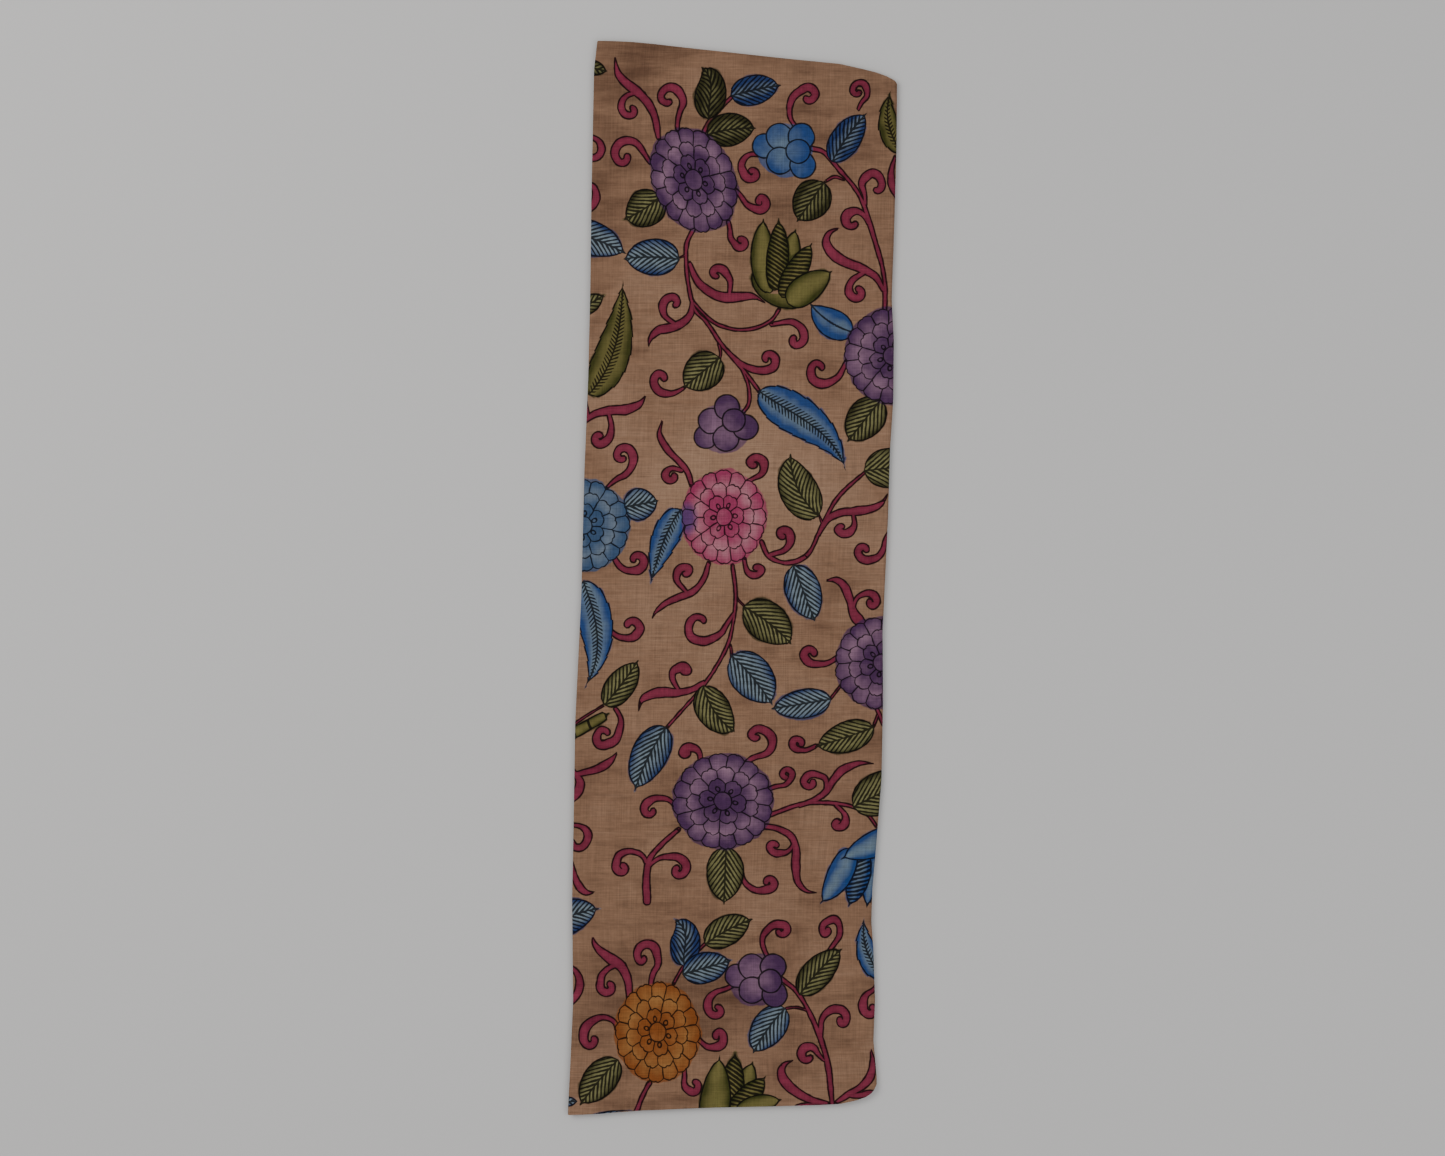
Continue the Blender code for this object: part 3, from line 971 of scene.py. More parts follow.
@dataclass
class FoldedCloth:
    """The cloth as one thin closed sheet, folded in four.

    The painted face looks down in the lowest layer and up in the top one.
    """

    thickness: float = 0.5
    pitch: float = 1.75
    outer_reach: float = 2.5
    inner_reach: float = 0.85
    inner_inset: float = 1.7
    length: float = 1001.0
    rows: int = 401
    top_steps: int = 118
    hidden_steps: int = 8
    end_insets: tuple[float, ...] = (4.0, 3.0, 1.5, 0.0)
    crease_span: float = 90.0
    short_crease: float = 200.0
    painted_faces: np.ndarray = field(default_factory=lambda: np.zeros(0, int))
    painted_corners: np.ndarray = field(default_factory=lambda: np.zeros((0, 4, 2)))

    def sides(self, y: np.ndarray) -> tuple[np.ndarray, np.ndarray]:
        """Return where the left and right sides of the top layer lie."""
        left = read_table(LEFT_SIDE, "along", "across", y)
        return left, read_table(RIGHT_SIDE, "along", "across", y)

    def lift(self, x: np.ndarray, y: np.ndarray) -> np.ndarray:
        """Return how far the top layer is lifted by its swells and creases."""
        high = np.zeros(len(x))
        for swell in SWELLS:
            turn = math.radians(swell.turn)
            dx, dy = x - swell.across, y - swell.along
            along = (dx * math.cos(turn) + dy * math.sin(turn)) / swell.half_length
            across = (dy * math.cos(turn) - dx * math.sin(turn)) / swell.half_width
            high += swell.height * np.exp(-(along**2) - across**2)
        for crease in CREASES:
            line = smooth_line(crease.places, 12.0)
            beside = np.abs(x - line[:, 0].mean()) < self.crease_span
            near = beside | (np.ptp(line[:, 1]) < self.short_crease)
            if near.any():
                _, gap, past = nearest_on(line, np.column_stack([x[near], y[near]]))
                fade = np.where(past, 0.4, 1.0)
                high[near] += fade * crease.height * np.exp(-((gap / crease.half_width) ** 2))
        high += 0.10 * np.sin(x / 9.0 + 1.7 * np.sin(y / 31.0)) * np.sin(y / 14.0 + 0.6)
        left, right = self.sides(y)
        near_side = np.clip(np.minimum(x - left, right - x) / 30.0, 0.0, 1.0)
        return high * (0.25 + 0.75 * near_side**2 * (3 - 2 * near_side))

    def height(self, layer: Layer, x: np.ndarray, y: np.ndarray) -> np.ndarray:
        """Return the height of the middle of a layer."""
        return self.thickness / 2 + self.pitch * layer + self.lift(x, y) * layer / Layer.TOP

    def stops(self, y: np.ndarray) -> dict[Layer, tuple[np.ndarray, np.ndarray]]:
        """Return where each layer starts and ends across the strip, on the way of the section."""
        left, right = self.sides(y)
        outer = right - self.thickness / 2 - self.outer_reach
        inner = outer - self.inner_inset
        turn = left + self.thickness / 2 + self.inner_reach
        lowest = left + read_table(FREE_EDGES, "along", "lowest", y)
        second = left + read_table(FREE_EDGES, "along", "second", y)
        return {
            Layer.LOWEST: (lowest, outer),
            Layer.TOP: (outer, turn),
            Layer.THIRD: (turn, inner),
            Layer.SECOND: (inner, second),
        }

    def place(self, run: Run, share: float, y: np.ndarray) -> tuple[np.ndarray, np.ndarray]:
        """Return x and height at a share of one stretch of the section."""
        if run.start == run.end:
            start, end = self.stops(y)[run.start]
            x = start + (end - start) * share
            return x, self.height(run.start, x, y)
        centre = self.stops(y)[run.start][1]
        low, high = self.height(run.start, centre, y), self.height(run.end, centre, y)
        reach = {
            Layer.LOWEST: self.outer_reach,
            Layer.TOP: -self.inner_reach,
            Layer.THIRD: self.inner_reach,
        }[run.start]
        angle = math.pi * (share - 0.5)
        x = centre + reach * math.cos(angle)
        return x, (low + high) / 2 + (high - low) / 2 * math.sin(angle)

    def column(self, run: Run, share: float) -> np.ndarray:
        """Return the points of one lengthwise thread, from the lower to the upper end."""
        part = np.linspace(0, 1, self.rows)
        y = self.length * (part - 0.5)
        x, _ = self.place(run, share, y)
        left, right = self.sides(y)
        across = np.clip((x - left) / (right - left), 0, 1)
        inset = self.end_insets[run.start] * (1 - share) + self.end_insets[run.end] * share
        upper = read_table(CUT_ENDS, "share", "upper", across) - inset
        lower = read_table(CUT_ENDS, "share", "lower", across) + inset
        y = lower + (upper - lower) * part
        x, z = self.place(run, share, y)
        return np.column_stack([x, y, z])

    def face_columns(self, top_steps: int, side: float) -> tuple[np.ndarray, np.ndarray, np.ndarray]:
        """Return one face of the cloth.

        Args:
            top_steps: Steps across the top layer.
            side: 1 for the painted face, -1 for the other.

        Returns:
            Points of shape (columns, rows, 3), the stretch of each column, and its share.
        """
        runs = (
            Run(Layer.LOWEST, Layer.LOWEST, self.hidden_steps),
            Run(Layer.LOWEST, Layer.TOP, 7),
            Run(Layer.TOP, Layer.TOP, top_steps),
            Run(Layer.TOP, Layer.THIRD, 6),
            Run(Layer.THIRD, Layer.THIRD, self.hidden_steps),
            Run(Layer.THIRD, Layer.SECOND, 5),
            Run(Layer.SECOND, Layer.SECOND, self.hidden_steps),
        )
        middle, stretch, shares = [], [], []
        for index, run in enumerate(runs):
            last = index == len(runs) - 1
            for step in range(run.steps + last):
                middle.append(self.column(run, step / run.steps))
                stretch.append(index)
                shares.append(index + step / run.steps)
        points = np.array(middle)
        across = np.gradient(points, axis=0)
        normal = np.stack([across[..., 2], np.zeros(across.shape[:2]), -across[..., 0]], axis=2)
        normal /= np.linalg.norm(normal, axis=2, keepdims=True)
        return points + side * normal * self.thickness / 2, np.array(stretch), np.array(shares)

    def build(self) -> bpy.types.Object:
        """Make the cloth's mesh, its flat map and its bake map, and note its painted faces.

        Returns:
            The cloth, without its finish.
        """
        painted, stretch, share_a = self.face_columns(self.top_steps, 1.0)
        plain, _, share_b = self.face_columns(self.hidden_steps, -1.0)
        ring = np.concatenate([painted, plain[::-1]])
        across, rows = ring.shape[:2]
        points = ring.transpose(1, 0, 2).reshape(-1, 3) * MM
        row = np.arange(rows - 1)[:, None] * across
        here = np.arange(across)[None]
        after = (here + 1) % across
        quads = np.stack(
            [row + here, row + across + here, row + across + after, row + after], axis=2
        ).reshape(-1, 4)
        caps = self.caps(share_a, share_b, across, rows)
        mesh = bpy.data.meshes.new("folded_cloth")
        mesh.from_pydata(points.tolist(), [], quads.tolist() + caps)
        mesh.polygons.foreach_set("use_smooth", np.ones(len(mesh.polygons), bool))
        mesh.set_sharp_from_angle(angle=math.radians(55))
        cloth = bpy.data.objects.new("folded_cloth", mesh)
        bpy.context.scene.collection.objects.link(cloth)
        columns = len(painted)
        self.note_painted(painted, stretch, across)
        self.map_flat(mesh, ring, quads, columns)
        self.map_bake(mesh, ring, quads, columns, stretch)
        return cloth

    @staticmethod
    def caps(share_a: np.ndarray, share_b: np.ndarray, across: int, rows: int) -> list[list[int]]:
        """Return triangles that close the two ends between the cloth's two faces."""
        made: list[list[int]] = []
        for first, turned in ((0, False), ((rows - 1) * across, True)):
            a, b = 0, 0
            while a < len(share_a) - 1 or b < len(share_b) - 1:
                step_a = b == len(share_b) - 1 or (
                    a < len(share_a) - 1 and share_a[a + 1] <= share_b[b + 1]
                )
                far_b = first + across - 1 - b
                if step_a:
                    corner = [first + a, first + a + 1, far_b]
                    a += 1
                else:
                    corner = [first + a, far_b - 1, far_b]
                    b += 1
                made.append(corner[::-1] if turned else corner)
        return made

    def note_painted(self, painted: np.ndarray, stretch: np.ndarray, across: int) -> None:
        """Keep which faces carry the pattern and where their corners lie on the flat cloth."""
        columns = np.flatnonzero((stretch >= 1) & (stretch <= 3))
        middle = int((stretch == 2).nonzero()[0][0]) + self.top_steps // 2
        steps = np.linalg.norm(np.diff(painted, axis=0)[..., [0, 2]], axis=2)
        flat = np.zeros(painted.shape[:2])
        flat[middle] = painted[middle, :, 0]
        for column in range(middle, columns[-1] + 1):
            flat[column + 1] = flat[column] - steps[column]
        for column in range(middle, columns[0], -1):
            flat[column - 1] = flat[column] + steps[column - 1]
        rows = painted.shape[1]
        row = np.arange(rows - 1)[:, None]
        here = columns[None, :]
        self.painted_faces = (row * across + here).ravel()
        spots = np.stack([flat, painted[..., 1]], axis=2)
        corners = [spots[here, row], spots[here, row + 1], spots[here + 1, row + 1], spots[here + 1, row]]
        self.painted_corners = np.stack(corners, axis=2).reshape(-1, 4, 2)

    @staticmethod
    def set_map(mesh: bpy.types.Mesh, name: str, spots: np.ndarray) -> None:
        """Write one UV map from a spot for each corner."""
        layer = mesh.uv_layers.new(name=name)
        values = np.zeros((len(mesh.loops), 2), np.float32)
        values[: len(spots)] = spots
        layer.uv.foreach_set("vector", values.ravel())

    def map_flat(
        self, mesh: bpy.types.Mesh, ring: np.ndarray, quads: np.ndarray, columns: int
    ) -> None:
        """Write the map of the flat cloth, in metres across and along."""
        steps = np.linalg.norm(np.diff(ring, axis=0)[..., [0, 2]], axis=2).mean(1)
        place = np.concatenate([[0.0], np.cumsum(steps)])
        place[columns:] = place[columns - 1] - (place[columns:] - place[columns])
        across = len(ring)
        spots = np.stack([np.tile(place, ring.shape[1]), ring[..., 1].T.ravel()], axis=1) * MM
        corner = spots[quads]
        wraps = (quads % across == across - 1).any(1) & (quads % across == 0).any(1)
        corner[wraps, :, 0] = 0.0
        self.set_map(mesh, "flat_cloth", corner.reshape(-1, 2))

    def map_bake(
        self, mesh: bpy.types.Mesh, ring: np.ndarray, quads: np.ndarray, columns: int, stretch: np.ndarray
    ) -> None:
        """Write the bake map: the top layer in two large halves, the hidden faces in thin bands.

        Places on the map are counted in millimetres on a square of the given side.

        Args:
            mesh: The cloth's mesh.
            ring: Points round the section, shape (columns, rows, 3).
            quads: Corners of the faces between them.
            columns: How many of the ring's columns lie on the painted side.
            stretch: Number of the section's stretch that each of those columns is in.
        """
        across, rows = ring.shape[:2]
        side, margin = 660.0, 6.0
        upper_centre, lower_centre, lower_rise = 166.0, 492.0, 508.0
        under_row, under_height, other_row, other_height = 522.0, 60.0, 592.0, 56.0
        column = quads[:, 0] % across
        row = quads[:, 0] // across
        kind = np.where(column < columns, stretch[np.minimum(column, columns - 1)], 9)
        top = (kind >= 1) & (kind <= 3) & (column < columns - 1)
        upper = row >= (rows - 1) // 2
        spots = np.zeros((len(quads), 4, 2))
        if len(self.painted_corners):
            flat = self.painted_corners.copy()
            half = upper[self.painted_faces]
            flat[..., 0] += np.where(half, upper_centre, lower_centre)[:, None]
            flat[..., 1] += np.where(half, margin, lower_rise)[:, None]
            spots[self.painted_faces] = flat
        hidden = np.flatnonzero(~top)
        corner_columns = quads[hidden] % across
        corner_columns = np.where(
            (corner_columns == 0) & (column[hidden][:, None] == across - 1), across, corner_columns
        )
        corner_rows = quads[hidden] // across
        under = kind[hidden] == 0
        u = margin + (side - 2 * margin) * corner_rows / (rows - 1)
        steps = self.hidden_steps
        span = np.where(under[:, None], corner_columns / steps, (corner_columns - steps) / (across - steps))
        v = np.where(under[:, None], under_row + under_height * span, other_row + other_height * span)
        spots[hidden] = np.stack([u, v], axis=2)
        self.set_map(mesh, "OFBake", (spots / side).reshape(-1, 2))


# The pattern's numbers on the faces of the cloth


@dataclass
class VinePattern:
    """Writes on each painted face the numbers of the motifs that touch it.

    A band's or leaf's numbers are kept for its reach in millimetres past its edge, and a
    bloom's up to its limit, where its rim lies at 1.
    """

    cloth: FoldedCloth
    band_reach: float = 4.5
    leaf_reach: float = 3.0
    flower_limit: float = 1.16
    bud_limit: float = 1.32
    values: dict[str, np.ndarray] = field(default_factory=dict)

    def __post_init__(self) -> None:
        """Start with every motif far away."""
        corners = self.cloth.painted_corners
        self.centres = corners.mean(1)
        count = len(corners)
        self.rank = np.full((count, VINE_BANDS), FAR)
        for band in range(VINE_BANDS):
            self.values[f"vine_{band}"] = np.tile((FAR, 0.0, 0.0), (count, 4, 1))
        for slot in LEAF_SLOTS:
            self.values[f"leaf_{slot}_place"] = np.tile((0.0, 0.0, -FAR), (count, 4, 1))
            self.values[f"leaf_{slot}_form"] = np.tile((1.0, 0.0, 0.0), (count, 4, 1))
            self.values[f"leaf_{slot}_strokes"] = np.tile((3.0, 0.0, 0.0), (count, 4, 1))
        self.values["bloom_place"] = np.tile((9.0, 9.0, 0.0), (count, 4, 1))
        self.values["bloom_form"] = np.tile((40.0, 0.0, 0.0), (count, 4, 1))

    def near(self, low: np.ndarray, high: np.ndarray, margin: float) -> np.ndarray:
        """Return the painted faces inside a box that is widened by a margin."""
        inside = (self.centres > low - margin).all(1) & (self.centres < high + margin).all(1)
        return np.flatnonzero(inside)

    def mark_band(self, line: np.ndarray, half: np.ndarray) -> None:
        """Mark a band of changing width round a line."""
        faces = self.near(line.min(0), line.max(0), half.max() + self.band_reach + 1.5)
        if not len(faces):
            return
        points = self.cloth.painted_corners[faces].reshape(-1, 2)
        along, gap, past = nearest_on(line, points)
        width = np.interp(along, arc_lengths(line), half)
        along, gap, width = (a.reshape(-1, 4) for a in (along, gap, width))
        loose = past.reshape(-1, 4).any(1)
        gap[loose] = np.abs(gap[loose])
        rank = (np.abs(gap) - width).mean(1)
        keep = rank < self.band_reach
        faces, rank = faces[keep], rank[keep]
        entry = np.stack([gap, width, along], axis=2)[keep]
        for band in range(VINE_BANDS):
            name = f"vine_{band}"
            better = rank < self.rank[faces, band]
            old_rank = self.rank[faces, band].copy()
            old_entry = self.values[name][faces].copy()
            self.rank[faces[better], band] = rank[better]
            self.values[name][faces[better]] = entry[better]
            rank = np.where(better, old_rank, rank)
            entry = np.where(better[:, None, None], old_entry, entry)

    def mark_line(self, line: np.ndarray, half: np.ndarray) -> None:
        """Mark a band in pieces that turn less than half round, so that a curl can't meet itself."""
        run = np.diff(line, axis=0)
        turn = np.abs(np.diff(np.unwrap(np.arctan2(run[:, 1], run[:, 0]))))
        total = np.concatenate([[0.0], np.cumsum(turn), [turn.sum()]])
        parts = (total / 2.0).astype(int)
        for part in range(parts.max() + 1):
            where = np.flatnonzero(parts == part)
            if len(where) > 1 or (len(where) == 1 and where[0] + 1 < len(line)):
                stop = min(where[-1] + 2, len(line))
                self.mark_band(line[where[0] : stop], half[where[0] : stop])

    def mark_leaf(self, leaf: Leaf) -> None:
        """Mark a leaf, in front of what is there."""
        base, tip = np.array(leaf.base, float), np.array(leaf.tip, float)
        axis = tip - base
        length = float(np.linalg.norm(axis))
        sideways = np.array([-axis[1], axis[0]]) / length
        t = np.linspace(0, 1, 25)[:, None]
        line = base + axis * t + sideways * (leaf.bow * 4 * t * (1 - t) + leaf.hook * 6.75 * t**2 * (1 - t))
        line = np.vstack([line[0] - (line[1] - line[0]) * 6, line, line[-1] + (line[-1] - line[-2]) * 6])
        lead = float(np.linalg.norm(line[1] - line[0]))
        tail = float(np.linalg.norm(line[-1] - line[-2]))
        faces = self.near(line.min(0), line.max(0), leaf.width / 2 + self.leaf_reach + 1)
        if not len(faces):
            return
        points = self.cloth.painted_corners[faces].reshape(-1, 2)
        along, gap, _ = nearest_on(line, points)
        along -= lead
        real = arc_lengths(line)[-1] - lead - tail
        width = self.leaf_half(along / real, leaf)
        slope = (self.leaf_half((along + 1) / real, leaf) - self.leaf_half((along - 1) / real, leaf)) / 2
        scale = 1 / np.sqrt(1 + np.clip(slope, -3, 3) ** 2)
        pitch, lean, reach, tooth = leaf.kind.value[:4]
        edge = ((np.abs(gap) - width) * scale).reshape(-1, 4)
        keep = edge.min(1) < self.leaf_reach
        faces = faces[keep]
        ones = np.ones(len(along))
        place = np.stack([along, gap, width], axis=1).reshape(-1, 4, 3)[keep]
        dye = leaf.dye.value + leaf.paleness * PALENESS_SHARE
        form = np.stack([scale, ones * tooth, ones * dye], axis=1).reshape(-1, 4, 3)[keep]
        strokes = np.stack([ones * pitch, ones * lean, ones * reach], axis=1).reshape(-1, 4, 3)[keep]
        for name, entry in (("place", place), ("form", form), ("strokes", strokes)):
            for lower, upper in zip(LEAF_SLOTS, LEAF_SLOTS[1:]):
                self.values[f"leaf_{lower}_{name}"][faces] = self.values[f"leaf_{upper}_{name}"][faces]
            self.values[f"leaf_{LEAF_SLOTS[-1]}_{name}"][faces] = entry

    @staticmethod
    def leaf_half(share: np.ndarray, leaf: Leaf) -> np.ndarray:
        """Return the half width of a leaf at a share of its length, below 0 past its ends.

        Args:
            share: Shares of the length, 0 at the base and 1 at the tip.
            leaf: The leaf.

        Returns:
            Half widths of the rounded form, or of the small tail that its tip ends in.
        """
        blunt, sharp = leaf.kind.value.blunt, leaf.kind.value.sharp
        full_share, tail_from, tail_half, tail_share = 0.94, 0.6, 1.3, 0.12
        inside = np.clip(share / full_share, 0, 1)
        peak = blunt / (blunt + sharp)
        form = inside**blunt * (1 - inside) ** sharp / (peak**blunt * (1 - peak) ** sharp)
        tail = np.where(share > tail_from, tail_half * np.clip((1 - share) / tail_share, 0, 1), 0)
        length = math.dist(leaf.base, leaf.tip)
        past = (np.maximum(-share, 0) + np.maximum(share - 1, 0)) * length
        return np.maximum(form * leaf.width / 2, tail) - past

    def mark_bloom(self, bloom: Flower | Bud) -> None:
        """Mark a flower or bud, in a frame of its own whose rim lies at 1."""
        is_bud = isinstance(bloom, Bud)
        half_x = bloom.radius if is_bud else bloom.half_x
        half_y = bloom.radius if is_bud else bloom.half_y
        centre = np.array([bloom.x, bloom.y])
        reach = max(half_x, half_y)
        rim_limit = self.bud_limit if is_bud else self.flower_limit
        faces = self.near(centre - reach, centre + reach, 10.0)
        if not len(faces):
            return
        away = self.cloth.painted_corners[faces] - centre
        angle = math.radians(bloom.turn)
        fx = (away[..., 0] * math.cos(angle) + away[..., 1] * math.sin(angle)) / half_x
        fy = (away[..., 1] * math.cos(angle) - away[..., 0] * math.sin(angle)) / half_y
        keep = np.hypot(fx, fy).min(1) < rim_limit
        faces = faces[keep]
        ones = np.ones(fx[keep].shape)
        self.values["bloom_place"][faces] = np.stack([fx[keep], fy[keep], ones * bloom.seed], axis=2)
        numbers = ((half_x + half_y) / 2, float(is_bud), float(bloom.dye.value))
        self.values["bloom_form"][faces] = np.stack([ones * number for number in numbers], axis=2)

    def mark_all(self, cloth: bpy.types.Object) -> None:
        """Mark every motif of the tables and write the numbers on the cloth."""
        for stem in STEMS:
            line = smooth_line(stem.places)
            self.mark_line(line, np.linspace(stem.start, stem.end, len(line)))
        for tendril in TENDRILS:
            line = curl_line(tendril.places)
            self.mark_line(line, tendril.half_width(np.linspace(0, 1, len(line))))
        for flame in FLAMES:
            line = smooth_line(flame.places)
            self.mark_line(line, flame.half_width(np.linspace(0, 1, len(line))))
        for leaf in LEAVES:
            self.mark_leaf(leaf)
        for bloom in (*FLOWERS, *BUDS):
            self.mark_bloom(bloom)
        mesh = cloth.data
        loops = (self.cloth.painted_faces[:, None] * 4 + np.arange(4)).ravel()
        for name, values in self.values.items():
            whole = np.tile(self.resting(name), (len(mesh.loops), 1)).astype(np.float32)
            whole[loops] = values.reshape(-1, 3)
            layer = mesh.attributes.new(name, "FLOAT_VECTOR", "CORNER")
            layer.data.foreach_set("vector", whole.ravel())
        self.mark_stains_and_shade(mesh)

    @staticmethod
    def mark_stains_and_shade(mesh: bpy.types.Mesh) -> None:
        """Write how dark the ground is at each point, from its stains and from the painted shade along the
        upper cut end.
        """
        points = np.zeros(len(mesh.vertices) * 3, np.float32)
        mesh.vertices.foreach_get("co", points)
        points = points.reshape(-1, 3) / MM
        strength = np.zeros(len(points), np.float32)
        for wear in STAINS_AND_SHADE:
            aside = (points[:, 0] - wear.x) / wear.half_x
            above = (points[:, 1] - wear.y) / wear.half_y
            strength += wear.strength * np.exp(-(aside**2 + above**2))
        layer = mesh.attributes.new("wear", "FLOAT", "POINT")
        layer.data.foreach_set("value", strength)

    @staticmethod
    def resting(name: str) -> tuple[float, float, float]:
        """Return the numbers of a face that no motif touches."""
        if name.startswith("vine"):
            return (FAR, 0.0, 0.0)
        if name.endswith("form"):
            return (1.0, 0.0, 0.0)
        if name.endswith("strokes"):
            return (3.0, 0.0, 0.0)
        return (9.0, 9.0, 0.0) if name.startswith("bloom") else (0.0, 0.0, -FAR)


# Shader sums


class Graph:
    """Adds nodes to one material."""

    def __init__(self, name: str) -> None:
        """Make a material that holds only an output and a surface."""
        self.material = bpy.data.materials.new(name)
        self.material.use_nodes = True
        self.tree = self.material.node_tree
        self.tree.nodes.clear()
        self.kept: dict[str, Any] = {}

    def node(self, kind: str, settings: dict[str, Any], inputs: dict[Any, Any]) -> bpy.types.Node:
        """Add one node.

        Args:
            kind: Blender's name of the node type.
            settings: Properties to set first; "stops" fills a colour ramp.
            inputs: Values or links by socket name or number.

        Returns:
            The node.
        """
        node = self.tree.nodes.new(kind)
        for key, value in settings.items():
            if key == "stops":
                ramp = node.color_ramp
                while len(ramp.elements) > 1:
                    ramp.elements.remove(ramp.elements[-1])
                for index, (spot, colour) in enumerate(value):
                    stop = ramp.elements[0] if index == 0 else ramp.elements.new(spot)
                    stop.position = spot
                    stop.color = (*colour, 1.0)
            elif key == "interpolation":
                node.color_ramp.interpolation = value
            else:
                setattr(node, key, value)
        for key, value in inputs.items():
            socket = node.inputs[key]
            if isinstance(value, Number):
                self.tree.links.new(value.socket, socket)
            elif isinstance(value, bpy.types.NodeSocket):
                self.tree.links.new(value, socket)
            else:
                socket.default_value = value
        return node

    def math(self, operation: str, *values: Any, clamp: bool = False) -> "Number":
        """Add one Math node and return its result."""
        settings = {"operation": operation, "use_clamp": clamp}
        return Number(self, self.node("ShaderNodeMath", settings, dict(enumerate(values))).outputs[0])

    def mix(self, share: Any, first: Any, second: Any, blend: str = "MIX") -> bpy.types.NodeSocket:
        """Mix two colours by a share."""
        first = (*first, 1.0) if isinstance(first, tuple) else first
        second = (*second, 1.0) if isinstance(second, tuple) else second
        settings = {"data_type": "RGBA", "blend_type": blend, "clamp_factor": True}
        node = self.node("ShaderNodeMix", settings, {0: share, 6: first, 7: second})
        return node.outputs[2]

    def split(self, name: str) -> tuple["Number", "Number", "Number"]:
        """Read an attribute of the cloth as three numbers."""
        found = self.node("ShaderNodeAttribute", {"attribute_name": name}, {})
        parts = self.node("ShaderNodeSeparateXYZ", {}, {0: found.outputs["Vector"]})
        return tuple(Number(self, parts.outputs[k]) for k in range(3))

    def noise(self, place: Any, scale: float, detail: float, roughness: float = 0.5) -> "Number":
        """Add a Noise texture and return its value."""
        inputs = {"Vector": place, "Scale": scale, "Detail": detail, "Roughness": roughness}
        return Number(self, self.node("ShaderNodeTexNoise", {}, inputs).outputs[0])

    def stretched(self, place: Any, scale: Colour) -> bpy.types.NodeSocket:
        """Scale a place along its axes."""
        return self.node("ShaderNodeMapping", {}, {"Vector": place, "Scale": scale}).outputs[0]


class Number:
    """One number at each point of a surface, on which sums are written as Python expressions."""

    def __init__(self, graph: Graph, socket: bpy.types.NodeSocket) -> None:
        """Hold the socket that gives the number."""
        self.graph = graph
        self.socket = socket

    def __add__(self, other: Any) -> "Number":
        """Add."""
        return self.graph.math("ADD", self, other)

    __radd__ = __add__

    def __sub__(self, other: Any) -> "Number":
        """Subtract."""
        return self.graph.math("SUBTRACT", self, other)

    def __rsub__(self, other: Any) -> "Number":
        """Subtract from."""
        return self.graph.math("SUBTRACT", other, self)

    def __mul__(self, other: Any) -> "Number":
        """Multiply."""
        return self.graph.math("MULTIPLY", self, other)

    __rmul__ = __mul__

    def __truediv__(self, other: Any) -> "Number":
        """Divide."""
        return self.graph.math("DIVIDE", self, other)

    def __rtruediv__(self, other: Any) -> "Number":
        """Divide into."""
        return self.graph.math("DIVIDE", other, self)

    def __abs__(self) -> "Number":
        """Take the size without its sign."""
        return self.graph.math("ABSOLUTE", self)

    def least(self, other: Any) -> "Number":
        """Take the smaller of two."""
        return self.graph.math("MINIMUM", self, other)

    def most(self, other: Any) -> "Number":
        """Take the larger of two."""
        return self.graph.math("MAXIMUM", self, other)

    def part(self) -> "Number":
        """Take what is left after the whole number."""
        return self.graph.math("FRACT", self)

    def whole(self) -> "Number":
        """Take the whole number below."""
        return self.graph.math("FLOOR", self)

    def held(self) -> "Number":
        """Keep between 0 and 1."""
        return self.graph.math("ADD", self, 0.0, clamp=True)

    def below(self, limit: Any, soft: float = 0.3) -> "Number":
        """Return 1 below a limit and 0 above it, with a soft step."""
        return self.graph.math("MULTIPLY_ADD", self - limit, -1.0 / soft, 0.5, clamp=True)


class Stain(NamedTuple):
    """One motif's ink and dye: where it lies, its lines, its colour and where its dye has run."""

    cover: Number
    ink: Number
    colour: Any
    run: Any


class Hand(NamedTuple):
    """What makes the drawing uneven: line half width, drift of lines, tone and run of the dyes."""

    line: Number
    drift: Number
    tone: Number
    run: Number


def linear(red: int, green: int, blue: int) -> Colour:
    """Turn a screen colour of 0 to 255 into the linear numbers that a shader takes."""
    return tuple(
        c / 12.92 if c <= 0.04045 else ((c + 0.055) / 1.055) ** 2.4
        for c in (red / 255, green / 255, blue / 255)
    )


# Finishes


